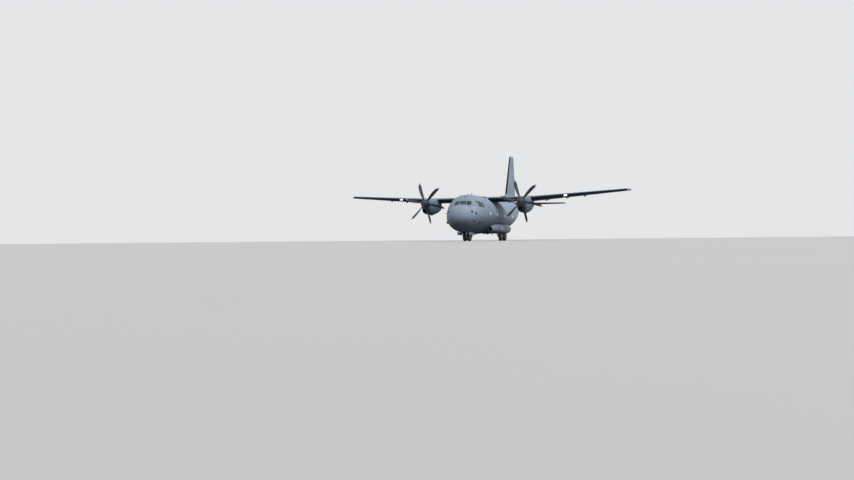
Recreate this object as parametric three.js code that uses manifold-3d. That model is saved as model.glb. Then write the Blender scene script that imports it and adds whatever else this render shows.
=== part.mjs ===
// Twin-turboprop military transport plane, parked on its landing gear.
// Millimetres, +Z up. The nose points along -Y and the port wing along +X.
// The origin is on the ground, under the middle of the aircraft's box.
// A station is a distance aft of the nose tip, and Y is the station less half the length.

import * as THREE from 'three';
import { mergeVertices } from 'three/addons/utils/BufferGeometryUtils.js';
import Module from 'manifold-3d';

const wasm = await Module();
wasm.setup();

// Driving dimensions
const LENGTH = 22700;
const HEIGHT = 9640;
const HALF_SPAN = 14350;
const GAP = 0.3; // between faces that meet
const PANEL_GAP = 16; // round a door or a moving surface

// Fuselage
const BODY_SIDES = 24;
const WALL = 110;
const COCKPIT_WALL = 80;
const GLASS_THICK = 25;
const RADOME_END = 800;
const FORWARD_END = 5900;
const CENTRE_END = 12400;
const FLOOR_TOP = 1400;
const FLOOR_THICK = 120;
const DECK_TOP = 2350;

// Wing
const WING_Z = 4050;
const PANEL_JOINT = 5270; // half span of the straight centre section
const ROOT_LE = 7350;
const ROOT_CHORD = 3400;
const TIP_LE = 8250;
const TIP_CHORD = 1685;
const DIHEDRAL = 4.2;
const FLAP_HINGE = 0.69; // share of the chord
const AILERON_HINGE = 0.74;

// Engines
const ENGINE_X = 4750;
const HUB_Z = 3690;
const PROP_STATION = 4700;
const PROP_RADIUS = 2075;
const BLADES = 6;
const BLADE_START = 18; // degrees that the first blade leans from upright, towards starboard
const COWL_FRONT = 5000;
const COWL_END = 8400;
const SHAFT_RADIUS = 80;
const ENGINE_FRONT = 5150;
const ENGINE_END = 7700;
const PIPE_RADIUS = 320;
const PIPE_Z = 3470;

// Tail
const FIN_ROOT_Z = 4050;
const RUDDER_FOOT = 4330;
const RUDDER_HEAD = 9330;
const RUDDER_HINGE = [20850, 21050]; // stations at its foot and its head
const TAIL_Z = 4160;
const TAIL_HALF = 6200;
const ELEVATOR_HINGE = 20950;
const ELEVATOR_INNER = 740;

// Landing gear
const TYRE_SIDES = 16;
const FLAT = Math.cos(Math.PI / TYRE_SIDES); // a tyre stands on one flat of its outline
const MAIN = { radius: 495, width: 330, rim: 205, bore: 57, x: 1835, stations: [8450, 9950] };
const NOSE = { radius: 368, width: 250, rim: 135, bore: 42, x: 195, station: 3040 };
const STEER_STATION = 2950;
const LEG_FOOT = 800;
const WELL = { half: 520, front: 1750, back: 3400, roof: 1750, wall: 45 };
const BAY = { inner: 1400, outer: 2060, front: 7600, back: 10650, roof: 1330 };

// Jacking pads, under the nose and under each sponson
const JACK = { radius: 60, nose: 4600, noseFoot: 722, main: 11400, mainFoot: 682, x: 1500 };

const yOf = (station) => station - LENGTH / 2;
const rad = THREE.MathUtils.degToRad;
const lerp = THREE.MathUtils.lerp;

// A table's columns are named once and its rows follow
const table = (columns, rows) =>
  rows.map((row) => Object.fromEntries(columns.map((name, i) => [name, row[i]])));

const BODY = table(['station', 'top', 'bottom', 'half', 'wide', 'full', 'crown'], [
  [0, 2090, 2050, 20, 2070, 2, 2],
  [40, 2300, 1840, 260, 2070, 2, 2],
  [150, 2530, 1620, 500, 2080, 2, 2],
  [400, 2800, 1360, 810, 2110, 2, 2],
  [800, 3060, 1110, 1120, 2160, 2, 2.05],
  [1300, 3290, 940, 1390, 2230, 2, 2.2],
  [1700, 3430, 865, 1540, 2290, 2, 2.4],
  [2050, 3740, 825, 1640, 2350, 2, 2.5],
  [2600, 4130, 785, 1730, 2430, 2, 2.5],
  [3200, 4340, 757, 1770, 2490, 2, 2.45],
  [3900, 4360, 745, 1775, 2520, 2, 2.3],
  [5900, 4310, 745, 1775, 2520, 2, 2],
  [12400, 4295, 745, 1775, 2520, 2, 2],
  [13600, 4295, 1030, 1765, 2600, 2.4, 2],
  [15000, 4295, 1470, 1715, 2800, 3.2, 2],
  [16500, 4295, 1950, 1600, 3050, 4, 2],
  [18000, 4290, 2450, 1420, 3300, 4.4, 2],
  [19500, 4280, 2940, 1170, 3580, 4.2, 2.2],
  [21000, 4230, 3420, 800, 3820, 3.4, 2.4],
  [21800, 4140, 3660, 470, 3920, 2.6, 2.4],
  [21950, 4080, 3740, 330, 3920, 2.2, 2.2],
]);

const COWL = table(['station', 'top', 'bottom', 'half', 'wide'], [
  [5000, 4110, 2780, 420, 3460],
  [5120, 4160, 2710, 460, 3440],
  [5500, 4200, 2660, 495, 3430],
  [6300, 4250, 2660, 510, 3430],
  [7200, 4300, 2720, 512, 3470],
  [7900, 4320, 2860, 500, 3540],
  [8400, 4320, 3010, 470, 3600],
]);

const SPONSON = table(['station', 'x', 'z', 'half', 'rise', 'full'], [
  [6150, 1380, 1150, 240, 240, 2],
  [6210, 1390, 1155, 295, 285, 2],
  [6600, 1430, 1165, 460, 370, 2.2],
  [7300, 1470, 1180, 640, 440, 2.8],
  [8000, 1480, 1185, 700, 465, 3.2],
  [10400, 1480, 1185, 700, 465, 3.2],
  [11600, 1450, 1190, 620, 420, 2.9],
  [12700, 1400, 1220, 430, 330, 2.4],
  [13400, 1340, 1270, 210, 190, 2],
  [13700, 1300, 1310, 50, 50, 2],
]);

const BLADE = table(['radius', 'chord', 'thick', 'pitch', 'sweep'], [
  [150, 170, 150, 66, 0],
  [430, 185, 120, 62, 0],
  [560, 250, 70, 57, 0],
  [900, 330, 42, 49, -12],
  [1300, 350, 30, 42, -8],
  [1700, 310, 22, 36, 25],
  [1950, 215, 14, 33, 70],
  [PROP_RADIUS, 100, 8, 31, 105],
]);

// Finishes
const paint = (color, roughness, metalness = 0) =>
  new THREE.MeshStandardMaterial({ color, roughness, metalness });
const FINISH = {
  grey: paint(0x7d8791, 0.55),
  radome: paint(0x76808a, 0.6),
  dark: paint(0x23262e, 0.5),
  belly: paint(0x6a747e, 0.55),
  metal: paint(0x6b6660, 0.35, 0.9),
  steel: paint(0xb9bcc0, 0.4, 0.6),
  white: paint(0xd5d8d8, 0.45),
  rubber: paint(0x1b1c1e, 0.85),
  glass: paint(0x27404a, 0.08),
  deck: paint(0x4a4f54, 0.7),
  core: paint(0x55585c, 0.5, 0.7),
};

// A closed mesh as a solid, turned to face out
function solidFrom(vertProperties, triVerts) {
  const build = () => new wasm.Manifold(new wasm.Mesh({ numProp: 3, vertProperties, triVerts }));
  const made = build();
  if (made.volume() > 0) return made;
  for (let i = 0; i < triVerts.length; i += 3)
    [triVerts[i + 1], triVerts[i + 2]] = [triVerts[i + 2], triVerts[i + 1]];
  return build();
}

function solidOf(geometry, matrix) {
  const plain = geometry.clone();
  plain.deleteAttribute('normal');
  plain.deleteAttribute('uv');
  if (matrix) plain.applyMatrix4(matrix);
  const merged = mergeVertices(plain, 1e-3);
  return solidFrom(
    new Float32Array(merged.attributes.position.array),
    new Uint32Array(merged.index.array),
  );
}

function geometryOf(solid) {
  const mesh = solid.getMesh();
  const geometry = new THREE.BufferGeometry();
  geometry.setAttribute('position', new THREE.BufferAttribute(mesh.vertProperties, 3));
  geometry.setIndex(new THREE.BufferAttribute(mesh.triVerts, 1));
  const flat = geometry.toNonIndexed();
  flat.computeVertexNormals();
  return flat;
}

const union = (...solids) => solids.reduce((a, b) => a.add(b));
const cut = (solid, ...tools) => tools.reduce((a, b) => a.subtract(b), solid);

// Rings of equal count, joined in turn and closed by a fan at each end
function loft(rings) {
  const count = rings[0].length;
  const positions = rings.flat().flatMap((p) => [p.x, p.y, p.z]);
  const faces = [];
  for (let r = 0; r + 1 < rings.length; r++)
    for (let i = 0; i < count; i++) {
      const j = (i + 1) % count;
      const [a, b] = [r * count + i, r * count + j];
      faces.push(a, b, b + count, a, b + count, a + count);
    }
  for (const [r, turned] of [[0, true], [rings.length - 1, false]]) {
    const hub = positions.length / 3;
    const middle = rings[r].reduce((sum, p) => sum.add(p), new THREE.Vector3());
    middle.divideScalar(count);
    positions.push(middle.x, middle.y, middle.z);
    for (let i = 0; i < count; i++) {
      const pair = [r * count + i, r * count + ((i + 1) % count)];
      if (turned) pair.reverse();
      faces.push(hub, ...pair);
    }
  }
  return solidFrom(new Float32Array(positions), new Uint32Array(faces));
}

function box(x, y, z) {
  const size = [x, y, z].map(([low, high]) => Math.abs(high - low));
  const middle = [x, y, z].map(([low, high]) => (low + high) / 2);
  return solidOf(new THREE.BoxGeometry(...size), new THREE.Matrix4().makeTranslation(...middle));
}

// A round bar between two points, with an end radius that may differ
function bar(from, to, radius, sides = 12, endRadius = radius) {
  const [a, b] = [new THREE.Vector3(...from), new THREE.Vector3(...to)];
  const along = b.clone().sub(a);
  const geometry = new THREE.CylinderGeometry(endRadius, radius, along.length(), sides);
  const turn = new THREE.Quaternion().setFromUnitVectors(
    new THREE.Vector3(0, 1, 0), along.clone().normalize());
  const middle = a.add(b).multiplyScalar(0.5);
  const place = new THREE.Matrix4().compose(middle, turn, new THREE.Vector3(1, 1, 1));
  return solidOf(geometry, place);
}

// An outline in the XZ plane, run along Y from one station to another
function frontPrism(points, from, to) {
  const shape = new THREE.Shape(points.map(([x, z]) => new THREE.Vector2(x, z)));
  const geometry = new THREE.ExtrudeGeometry(shape, { depth: to - from, bevelEnabled: false });
  const turn = new THREE.Matrix4().makeRotationX(Math.PI / 2);
  turn.premultiply(new THREE.Matrix4().makeTranslation(0, yOf(to), 0));
  return solidOf(geometry, turn);
}

// An outline of stations and heights, run along X
function sidePrism(points, from, to) {
  const shape = new THREE.Shape(points.map(([station, z]) => new THREE.Vector2(yOf(station), z)));
  const geometry = new THREE.ExtrudeGeometry(shape, { depth: to - from, bevelEnabled: false });
  const turn = new THREE.Matrix4().makeBasis(
    new THREE.Vector3(0, 1, 0), new THREE.Vector3(0, 0, 1), new THREE.Vector3(1, 0, 0));
  turn.premultiply(new THREE.Matrix4().makeTranslation(from, 0, 0));
  return solidOf(geometry, turn);
}

// A point of a rounded section, where 2 gives an ellipse and more gives fuller corners
function rounded(angle, half, rise, power) {
  const [c, s] = [Math.cos(angle), Math.sin(angle)];
  return [
    half * Math.sign(c) * Math.abs(c) ** (2 / power),
    rise * Math.sign(s) * Math.abs(s) ** (2 / power),
  ];
}

function rowAt(rows, station) {
  const next = Math.max(1, rows.findIndex((row) => row.station >= station));
  const [a, b] = [rows[next - 1], rows[next]];
  const share = (station - a.station) / (b.station - a.station);
  return Object.fromEntries(Object.keys(a).map((key) => [key, lerp(a[key], b[key], share)]));
}

function bodyRing(row, inset) {
  return Array.from({ length: BODY_SIDES }, (_, i) => {
    const angle = ((i + 0.5) / BODY_SIDES) * 2 * Math.PI;
    const above = Math.sin(angle) > 0;
    const rise = above ? row.top - row.wide : row.wide - row.bottom;
    const [x, z] = rounded(angle, row.half - inset, rise - inset, above ? row.crown : row.full);
    return new THREE.Vector3(x, yOf(row.station), row.wide + z);
  });
}

// The fuselage's outer form, or its inside, shrunk by a wall
const bodyForms = new Map();
function wholeForm(inset) {
  if (!bodyForms.has(inset)) {
    const rows = BODY.filter(({ half }) => half - inset > 15);
    bodyForms.set(inset, loft(rows.map((row) => bodyRing(row, inset))));
  }
  return bodyForms.get(inset);
}

const slice = (form, from, to) =>
  form.intersect(box([-9000, 9000], [yOf(from), yOf(to)], [-100, 9000]));
const bodyForm = (from, to, inset = 0) => slice(wholeForm(inset), from, to);

const WHOLE_BODY = wholeForm(-GAP);

// Panes by their corners: width and height for those cut from ahead, station and height from the side
const PANES = {
  middle: [[-290, 3405], [290, 3405], [272, 3700], [-272, 3700]],
  corner: [[385, 3390], [790, 3270], [770, 3640], [368, 3695]],
  side: [[2030, 3215], [2560, 3120], [2590, 3660], [2230, 3680]],
  quarter: [[2700, 3110], [3090, 3170], [3030, 3520], [2730, 3600]],
};

function windowCuts() {
  const mirrored = PANES.corner.map(([x, z]) => [-x, z]).reverse();
  return [
    frontPrism(PANES.middle, 1400, 2500),
    frontPrism(PANES.corner, 1400, 2700),
    frontPrism(mirrored, 1400, 2700),
    ...[PANES.side, PANES.quarter].flatMap((pane) => [
      sidePrism(pane, 880, 1900),
      sidePrism(pane, -1900, -880),
    ]),
  ];
}

const CREW_DOOR = { front: 3350, back: 4150, sill: 1420, head: 3050 };

const CREW_PIVOT = [1385, CREW_DOOR.sill + 4]; // x and height of the pins at the sill

// The door is the wall inside its own outline, with a pin at each end of its sill
function crewDoor() {
  const wall = cut(bodyForm(3250, 4300), bodyForm(3200, 4350, WALL));
  const [x, z] = CREW_PIVOT;
  const reach = PANEL_GAP - GAP;
  const treads = table(['height', 'inner'], [[1740, 1330], [2060, 1430], [2380, 1480], [2700, 1470]]);
  const steps = treads.map(({ height, inner }) => box([inner, inner + 210],
    [yOf(CREW_DOOR.front + 90), yOf(CREW_DOOR.back - 90)], [height, height + 35]));
  return union(
    wall.intersect(crewDoorRegion(0)),
    ...steps.map((step) => step.intersect(wholeForm(WALL / 2))),
    bar([x, yOf(CREW_DOOR.front - reach), z], [x, yOf(CREW_DOOR.back + reach), z], 10));
}

// The doorway that a door of that size closes, with the gap round it
const crewDoorRegion = (grow) =>
  box([900, 2100],
    [yOf(CREW_DOOR.front - grow), yOf(CREW_DOOR.back + grow)],
    [CREW_DOOR.sill - grow, CREW_DOOR.head + grow]);

// The warning sensor domes that stand out of the cheeks
function cheekDome(side) {
  const y = yOf(2000);
  const dome = new THREE.SphereGeometry(120, 10, 6);
  const place = new THREE.Matrix4().makeTranslation(side * 1535, y, 1740);
  return union(
    bar([side * 1380, y, 1790], [side * 1535, y, 1740], 120, 10),
    solidOf(dome, place));
}

function forwardFuselage() {
  const skin = cut(
    bodyForm(RADOME_END + GAP, FORWARD_END),
    bodyForm(RADOME_END + 150, 3250, COCKPIT_WALL),
    bodyForm(3200, FORWARD_END + 5, WALL));
  const wellBox = box(
    [-WELL.half - WELL.wall, WELL.half + WELL.wall],
    [yOf(WELL.front - WELL.wall), yOf(WELL.back + WELL.wall)],
    [780, WELL.roof + WELL.wall]);
  const kept = wellBox.intersect(bodyForm(RADOME_END + 100, FORWARD_END, 40));
  const wellHole = box([-WELL.half, WELL.half], [yOf(WELL.front), yOf(WELL.back)], [400, WELL.roof]);
  const domes = [1, -1].map(cheekDome);
  const pad = bar([0, yOf(JACK.nose), 790], [0, yOf(JACK.nose), JACK.noseFoot], JACK.radius, 16);
  return cut(union(skin, kept, pad, ...domes), wellHole, ...windowCuts(), crewDoorRegion(PANEL_GAP));
}

// The glass is one band that lies against the inside of the window posts
function cockpitGlazing() {
  const [from, to] = [1560, 3200];
  const band = cut(
    bodyForm(from, to, COCKPIT_WALL + GAP),
    bodyForm(from - 5, to + 5, COCKPIT_WALL + GAP + GLASS_THICK));
  return band.intersect(box([-1760, 1760], [yOf(from + 20), yOf(to - 20)], [3060, 3790]));
}

function pilotSeat(x) {
  const seat = box([x - 240, x + 240], [yOf(2480), yOf(2960)], [DECK_TOP + 300, DECK_TOP + 430]);
  const back = box([x - 230, x + 230], [yOf(2900), yOf(3020)], [DECK_TOP + 300, DECK_TOP + 1080]);
  const stand = box([x - 160, x + 160], [yOf(2560), yOf(2880)], [DECK_TOP - 20, DECK_TOP + 320]);
  return union(seat, back, stand);
}

function cockpitInterior() {
  const [front, back] = [1250, 3300];
  const deck = box([-1800, 1800], [yOf(front), yOf(back)], [DECK_TOP - 90, DECK_TOP]);
  const bulkhead = box([-1800, 1800], [yOf(back - 70), yOf(back)], [DECK_TOP - 90, 4400]);
  const doorway = box([-330, 330], [yOf(back - 100), yOf(back + 30)], [DECK_TOP + 1, 4000]);
  const panel = sidePrism(
    [[1640, DECK_TOP - 20], [1830, DECK_TOP - 20], [1980, 3080], [1960, 3200], [1640, 3200]],
    -1250, 1250);
  const console = box([-170, 170], [yOf(1800), yOf(2700)], [DECK_TOP - 20, DECK_TOP + 380]);
  const whole = union(cut(union(deck, bulkhead), doorway), panel, console,
    pilotSeat(560), pilotSeat(-560));
  return whole.intersect(union(
    bodyForm(RADOME_END + 150 + GAP, 3200, COCKPIT_WALL + GLASS_THICK + 2 * GAP),
    bodyForm(3190, FORWARD_END, WALL + GAP)));
}

// A wing section: a cambered aerofoil in stations and heights, growing by a skin if asked
function aerofoil(x, front, chord, z, thick, camber, grow = 0) {
  const shares = [0, 0.012, 0.045, 0.11, 0.21, 0.34, 0.5, 0.69, 0.85, 1];
  const half = (u) => 5 * thick * (0.2969 * Math.sqrt(u) - 0.126 * u - 0.3516 * u ** 2 +
    0.2843 * u ** 3 - 0.1015 * u ** 4) + 0.0025 * u;
  const middle = (u) => camber * 4 * u * (1 - u);
  const at = (u, sign) => new THREE.Vector3(
    x,
    yOf(front + chord * u + grow * (2 * u - 1)),
    z + chord * (middle(u) + sign * half(u)) + sign * grow);
  return [
    ...shares.slice().reverse().map((u) => at(u, 1)),
    ...shares.slice(1).map((u) => at(u, -1)),
  ];
}

const wingAt = (x) => {
  const out = THREE.MathUtils.clamp(
    (Math.abs(x) - PANEL_JOINT) / (HALF_SPAN - PANEL_JOINT), 0, 1);
  return {
    front: lerp(ROOT_LE, TIP_LE, out),
    chord: lerp(ROOT_CHORD, TIP_CHORD, out),
    z: WING_Z + Math.max(0, Math.abs(x) - PANEL_JOINT) * Math.tan(rad(DIHEDRAL)),
    thick: lerp(0.158, 0.13, out),
    camber: 0.022,
  };
};

function wingRing(x, grow = 0) {
  const { front, chord, z, thick, camber } = wingAt(x);
  return aerofoil(x, front, chord, z, thick, camber, grow);
}

function wingTipRings(side) {
  const rows = table(['x', 'back', 'thin'], [[13900, 0, 1], [14230, 170, 0.75], [HALF_SPAN, 560, 0.3]]);
  return rows.map(({ x, back, thin }) => {
    const { front, chord, z, thick, camber } = wingAt(x);
    return aerofoil(side * x, front + back, chord - back, z, thick * thin * chord / (chord - back),
      camber);
  });
}

// The pivot line of a wing surface: a point and a radius at each end
function wingHinge(x, share) {
  const { front, chord, z, thick, camber } = wingAt(x);
  const ring = aerofoil(x, front, chord, z, thick, camber);
  const at = yOf(front + chord * share);
  const heightOn = (points) => {
    const i = points.findIndex((p, k) => (p.y - at) * (points[k + 1].y - at) <= 0);
    const part = (at - points[i].y) / (points[i + 1].y - points[i].y);
    return lerp(points[i].z, points[i + 1].z, part);
  };
  const [upper, lower] = [heightOn(ring.slice(0, 10)), heightOn(ring.slice(9))];
  return { point: [x, at, (upper + lower) / 2], radius: (upper - lower) / 2 - 2 };
}

// All that lies aft of a hinge line, between two ends of the surface
function aftOfHinge(a, b, reach, depth, sideGap) {
  const along = new THREE.Vector3(...b.point).sub(new THREE.Vector3(...a.point)).normalize();
  const ring = ({ point }, shift) => {
    const p = new THREE.Vector3(...point).addScaledVector(along, shift);
    return [[0, -depth], [0, depth], [reach, depth], [reach, -depth]].map(
      ([y, z]) => new THREE.Vector3(p.x, p.y + y, p.z + z));
  };
  return loft([ring(a, -sideGap), ring(b, sideGap)]);
}

function hingeRod(a, b, grow, shift) {
  const [p, q] = [new THREE.Vector3(...a.point), new THREE.Vector3(...b.point)];
  const along = q.clone().sub(p).normalize();
  p.addScaledVector(along, -shift);
  q.addScaledVector(along, shift);
  return bar(p.toArray(), q.toArray(), a.radius + grow, 20, b.radius + grow);
}

// A pin from each end of a surface to just short of the wall beside it
function hingePins(a, b, length) {
  const [p, q] = [new THREE.Vector3(...a.point), new THREE.Vector3(...b.point)];
  const along = q.clone().sub(p).normalize();
  const thick = (radius) => Math.min(26, radius * 0.6);
  const pin = (from, radius, sign) => {
    const start = from.clone().addScaledVector(along, -5 * sign);
    const tip = from.clone().addScaledVector(along, (length - 2 * GAP) * sign);
    return bar(start.toArray(), tip.toArray(), thick(radius), 12, 4);
  };
  return union(pin(q, b.radius, 1), pin(p, a.radius, -1));
}

// A surface with a round nose in a cove, and the bay that it leaves
function movingSurface(form, a, b, reach, depth) {
  const nose = union(hingeRod(a, b, 0, 0), hingePins(a, b, PANEL_GAP + 8));
  const blade = form.intersect(aftOfHinge(a, b, reach, depth, 0));
  const bay = union(
    aftOfHinge(a, b, reach, depth, PANEL_GAP + 8),
    hingeRod(a, b, PANEL_GAP, PANEL_GAP + 8));
  return { solid: union(blade, nose), bay };
}

const FLAPS = table(['name', 'inner', 'outer', 'hinge'], [
  ['flap_inboard', 1900, 5210, FLAP_HINGE],
  ['flap_outboard', 5330, 10420, FLAP_HINGE],
  ['aileron', 10500, 13850, AILERON_HINGE],
]);

const centreForm = (grow = 0) =>
  loft([-PANEL_JOINT, PANEL_JOINT].map((x) => wingRing(x, grow)));

const outerForm = (side) =>
  loft([wingRing(side * (PANEL_JOINT + GAP)), ...wingTipRings(side)]);

function wingSurfaces(side) {
  return FLAPS.map(({ name, inner, outer, hinge }) => {
    const form = inner < PANEL_JOINT ? centreForm() : outerForm(side);
    const [a, b] = [inner, outer].map((x) => wingHinge(side * x, hinge));
    return { name, ...movingSurface(form, a, b, 1500, 400) };
  });
}

const sideName = (side) => (side > 0 ? 'port' : 'starboard');

function sponson(side) {
  const rings = SPONSON.map((row) =>
    Array.from({ length: 18 }, (_, i) => {
      const [x, z] = rounded((i / 18) * 2 * Math.PI, row.half, row.rise, row.full);
      return new THREE.Vector3(side * (row.x + x), yOf(row.station), row.z + z);
    }));
  const inlet = bar([side * 1390, yOf(6100), 1150], [side * 1430, yOf(6750), 1160], 195, 18, 150);
  const bay = box([side * BAY.inner, side * BAY.outer], [yOf(BAY.front), yOf(BAY.back)],
    [300, BAY.roof]);
  const pad = bar([side * JACK.x, yOf(JACK.main), 800], [side * JACK.x, yOf(JACK.main), JACK.mainFoot],
    JACK.radius, 16);
  const rampSide = RAMP.half + 2 * PANEL_GAP;
  const rampRoom = box([0, side * rampSide], [yOf(RAMP.front - RAMP.gap), yOf(14000)], [0, 2500]);
  return cut(union(loft(rings), pad), WHOLE_BODY, inlet, bay, rampRoom);
}

function cowlRing(side, row, inset) {
  return Array.from({ length: 20 }, (_, i) => {
    const angle = ((i + 0.5) / 20) * 2 * Math.PI;
    const rise = Math.sin(angle) > 0 ? row.top - row.wide : row.wide - row.bottom;
    const [x, z] = rounded(angle, row.half - inset, rise - inset, 2.5);
    return new THREE.Vector3(side * ENGINE_X + x, yOf(row.station), row.wide + z);
  });
}

const cowlForm = (side, from, to, inset) =>
  slice(loft(COWL.map((row) => cowlRing(side, row, inset))), from, to);

function nacelle(side) {
  const x = side * ENGINE_X;
  const shell = cut(
    cowlForm(side, COWL_FRONT, COWL_END, 0),
    cowlForm(side, COWL_FRONT + 70, COWL_END - 60, 45));
  const mouth = [];
  for (let i = 0; i < 12; i++) {
    const [u, w] = rounded(((i + 0.5) / 12) * 2 * Math.PI, 330, 205, 2.6);
    mouth.push([x + u, 2995 + w]);
  }
  return cut(shell,
    frontPrism(mouth, COWL_FRONT - 50, COWL_FRONT + 500),
    bar([x, yOf(COWL_FRONT - 20), HUB_Z], [x, yOf(COWL_FRONT + 120), HUB_Z], SHAFT_RADIUS + 14, 16),
    bar([x, yOf(COWL_END - 120), PIPE_Z], [x, yOf(COWL_END + 20), PIPE_Z], PIPE_RADIUS + 6, 20),
    box([x - 800, x + 800], [yOf(7700), yOf(COWL_END + 50)], [WING_Z, 5200]),
    centreForm(GAP + 0.2));
}

// The engine is one plain block of its real size, carried on two beams
function engine(side) {
  const x = side * ENGINE_X;
  const block = box([x - 350, x + 350], [yOf(ENGINE_FRONT), yOf(ENGINE_END)], [3250, 3990]);
  const beams = [5900, 7100].map((station) =>
    box([x - 700, x + 700], [yOf(station), yOf(station + 140)], [3420, 3540]));
  return cut(
    union(block, ...beams).intersect(cowlForm(side, COWL_FRONT + 80, COWL_END - 70, 45 + GAP)),
    centreForm(GAP + 0.2));
}

function exhaustPipe() {
  const length = 8760 - ENGINE_END - GAP;
  const profile = [
    [PIPE_RADIUS - 22, 0], [PIPE_RADIUS, 0], [PIPE_RADIUS, length - 250],
    [PIPE_RADIUS - 30, length], [PIPE_RADIUS - 42, length], [PIPE_RADIUS - 22, length - 250],
    [PIPE_RADIUS - 22, 0],
  ].map(([r, y]) => new THREE.Vector2(r, y));
  return new THREE.LatheGeometry(profile, 20);
}

function bladeSolid(turn) {
  const rings = BLADE.map(({ radius, chord, thick, pitch, sweep }) => {
    const angle = rad(pitch);
    const outline = [[0.5, 0], [0.2, 0.44], [-0.2, 0.38], [-0.5, 0.03], [-0.5, -0.03], [-0.2, -0.38],
      [0.2, -0.44]];
    return outline.map(([u, w]) => {
      const along = u * chord - sweep;
      const across = w * thick;
      return new THREE.Vector3(
        -along * Math.cos(angle) - across * Math.sin(angle),
        -along * Math.sin(angle) + across * Math.cos(angle),
        radius,
      ).applyAxisAngle(new THREE.Vector3(0, 1, 0), turn);
    });
  });
  return loft(rings);
}

// Blades, hub and shaft, about the hub's middle with the shaft along Y
const SPINNER_BACK = COWL_FRONT - PROP_STATION - 20;

function propeller() {
  const shaftEnd = ENGINE_FRONT - PROP_STATION - GAP;
  const plate = SPINNER_BACK - 12 - GAP;
  const profile = [[0, -170], [150, -170], [220, -110], [220, plate], [SHAFT_RADIUS, plate],
    [SHAFT_RADIUS, shaftEnd], [0, shaftEnd]];
  const hub = solidOf(
    new THREE.LatheGeometry(profile.map(([r, y]) => new THREE.Vector2(r, y)), 16));
  const blades = [];
  for (let i = 0; i < BLADES; i++)
    blades.push(bladeSolid(rad((360 / BLADES) * i - BLADE_START)));
  return union(hub, ...blades);
}

// A shell over the hub, with a hole for each blade's root
function spinner() {
  const outline = [[0, -600], [95, -575], [230, -455], [345, -245], [410, -10],
    [425, SPINNER_BACK], [SHAFT_RADIUS + 30, SPINNER_BACK], [SHAFT_RADIUS + 30, SPINNER_BACK - 12],
    [403, SPINNER_BACK - 12], [388, -10], [325, -240], [215, -435], [0, -560]];
  const shell = solidOf(
    new THREE.LatheGeometry(outline.map(([r, y]) => new THREE.Vector2(r, y)), 16));
  const holes = [];
  for (let i = 0; i < BLADES; i++) {
    const turn = rad((360 / BLADES) * i - BLADE_START);
    const out = [Math.sin(turn), 0, Math.cos(turn)];
    holes.push(bar(out.map((v) => v * 300), out.map((v) => v * 500), 114, 8));
  }
  return cut(shell, ...holes);
}

// Fin and rudder: an upright symmetric section, given by its leading and trailing edges
const finEdges = (z) => ({
  front: lerp(17650, 20050, (z - 4250) / (9500 - 4250)),
  back: LENGTH - (z - RUDDER_FOOT) * 0.154,
});

function finRing(z, front, back, half) {
  const shares = [0, 0.012, 0.05, 0.13, 0.25, 0.4, 0.6, 0.8, 1];
  const width = (u) => half * (2.969 * Math.sqrt(u) - 1.26 * u - 3.516 * u ** 2 +
    2.843 * u ** 3 - 1.015 * u ** 4) + 8 * u;
  const at = (u, sign) => new THREE.Vector3(sign * width(u), yOf(front + (back - front) * u), z);
  return [...shares.slice().reverse().map((u) => at(u, 1)), ...shares.slice(1).map((u) => at(u, -1))];
}

const finHalf = (z) => lerp(250, 105, (z - 4250) / (9500 - 4250));

function finForm(grow = 0) {
  const rows = table(['z', 'back', 'thin'],
    [[FIN_ROOT_Z, 0, 1], [9420, 0, 1], [9570, 90, 0.75], [HEIGHT, 330, 0.3]]);
  return loft(rows.map(({ z, back, thin }) => {
    const edges = finEdges(z);
    return finRing(z, edges.front + back - grow, edges.back - back * 0.4 + grow,
      finHalf(z) * thin + grow);
  }));
}

function finHinge(z) {
  const share = (z - RUDDER_FOOT) / (RUDDER_HEAD - RUDDER_FOOT);
  const station = lerp(...RUDDER_HINGE, share);
  const { front, back } = finEdges(z);
  const ring = finRing(z, front, back, finHalf(z));
  const i = ring.findIndex((p) => p.y <= yOf(station));
  const part = (yOf(station) - ring[i].y) / (ring[i - 1].y - ring[i].y);
  return { point: [0, yOf(station), z], radius: lerp(ring[i].x, ring[i - 1].x, part) - 2 };
}

function aftOfRudderHinge(a, b, drop, rise) {
  const along = new THREE.Vector3(...b.point).sub(new THREE.Vector3(...a.point)).normalize();
  const ring = ({ point }, shift) => {
    const p = new THREE.Vector3(...point).addScaledVector(along, shift);
    return [[-500, 0], [500, 0], [500, 2600], [-500, 2600]].map(
      ([x, y]) => new THREE.Vector3(x, p.y + y, p.z));
  };
  return loft([ring(a, -drop), ring(b, rise)]);
}

// The fin is a skin open at the rudder's cove, with a low dorsal fillet ahead of it
function finAndRudder() {
  const [a, b] = [finHinge(RUDDER_FOOT), finHinge(RUDDER_HEAD)];
  const form = finForm();
  const pins = hingePins(a, b, PANEL_GAP).intersect(box([-500, 500], [0, 12000], [RUDDER_FOOT, HEIGHT]));
  const rudder = union(
    form.intersect(aftOfRudderHinge(a, b, 0, 0)),
    hingeRod(a, b, 0, 0),
    pins);
  const bay = union(aftOfRudderHinge(a, b, 700, PANEL_GAP), hingeRod(a, b, PANEL_GAP, PANEL_GAP));
  const fillet = sidePrism([[14900, 4200], [18500, 4200], [18500, 5300]], -65, 65);
  const skin = 38;
  const inside = loft([4700, 9150].map((z) => {
    const { front } = finEdges(z);
    const back = finHinge(z).point[1] + LENGTH / 2 + 30;
    const half = finHalf(z) - skin;
    return [[-half * 0.8, front + 420], [half * 0.8, front + 420], [half, front + 1100],
      [half * 0.72, back], [-half * 0.72, back], [-half, front + 1100]].map(
      ([x, station]) => new THREE.Vector3(x, yOf(station), z));
  }));
  return { fin: cut(union(form, fillet), bay, inside, WHOLE_BODY), rudder };
}

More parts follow.
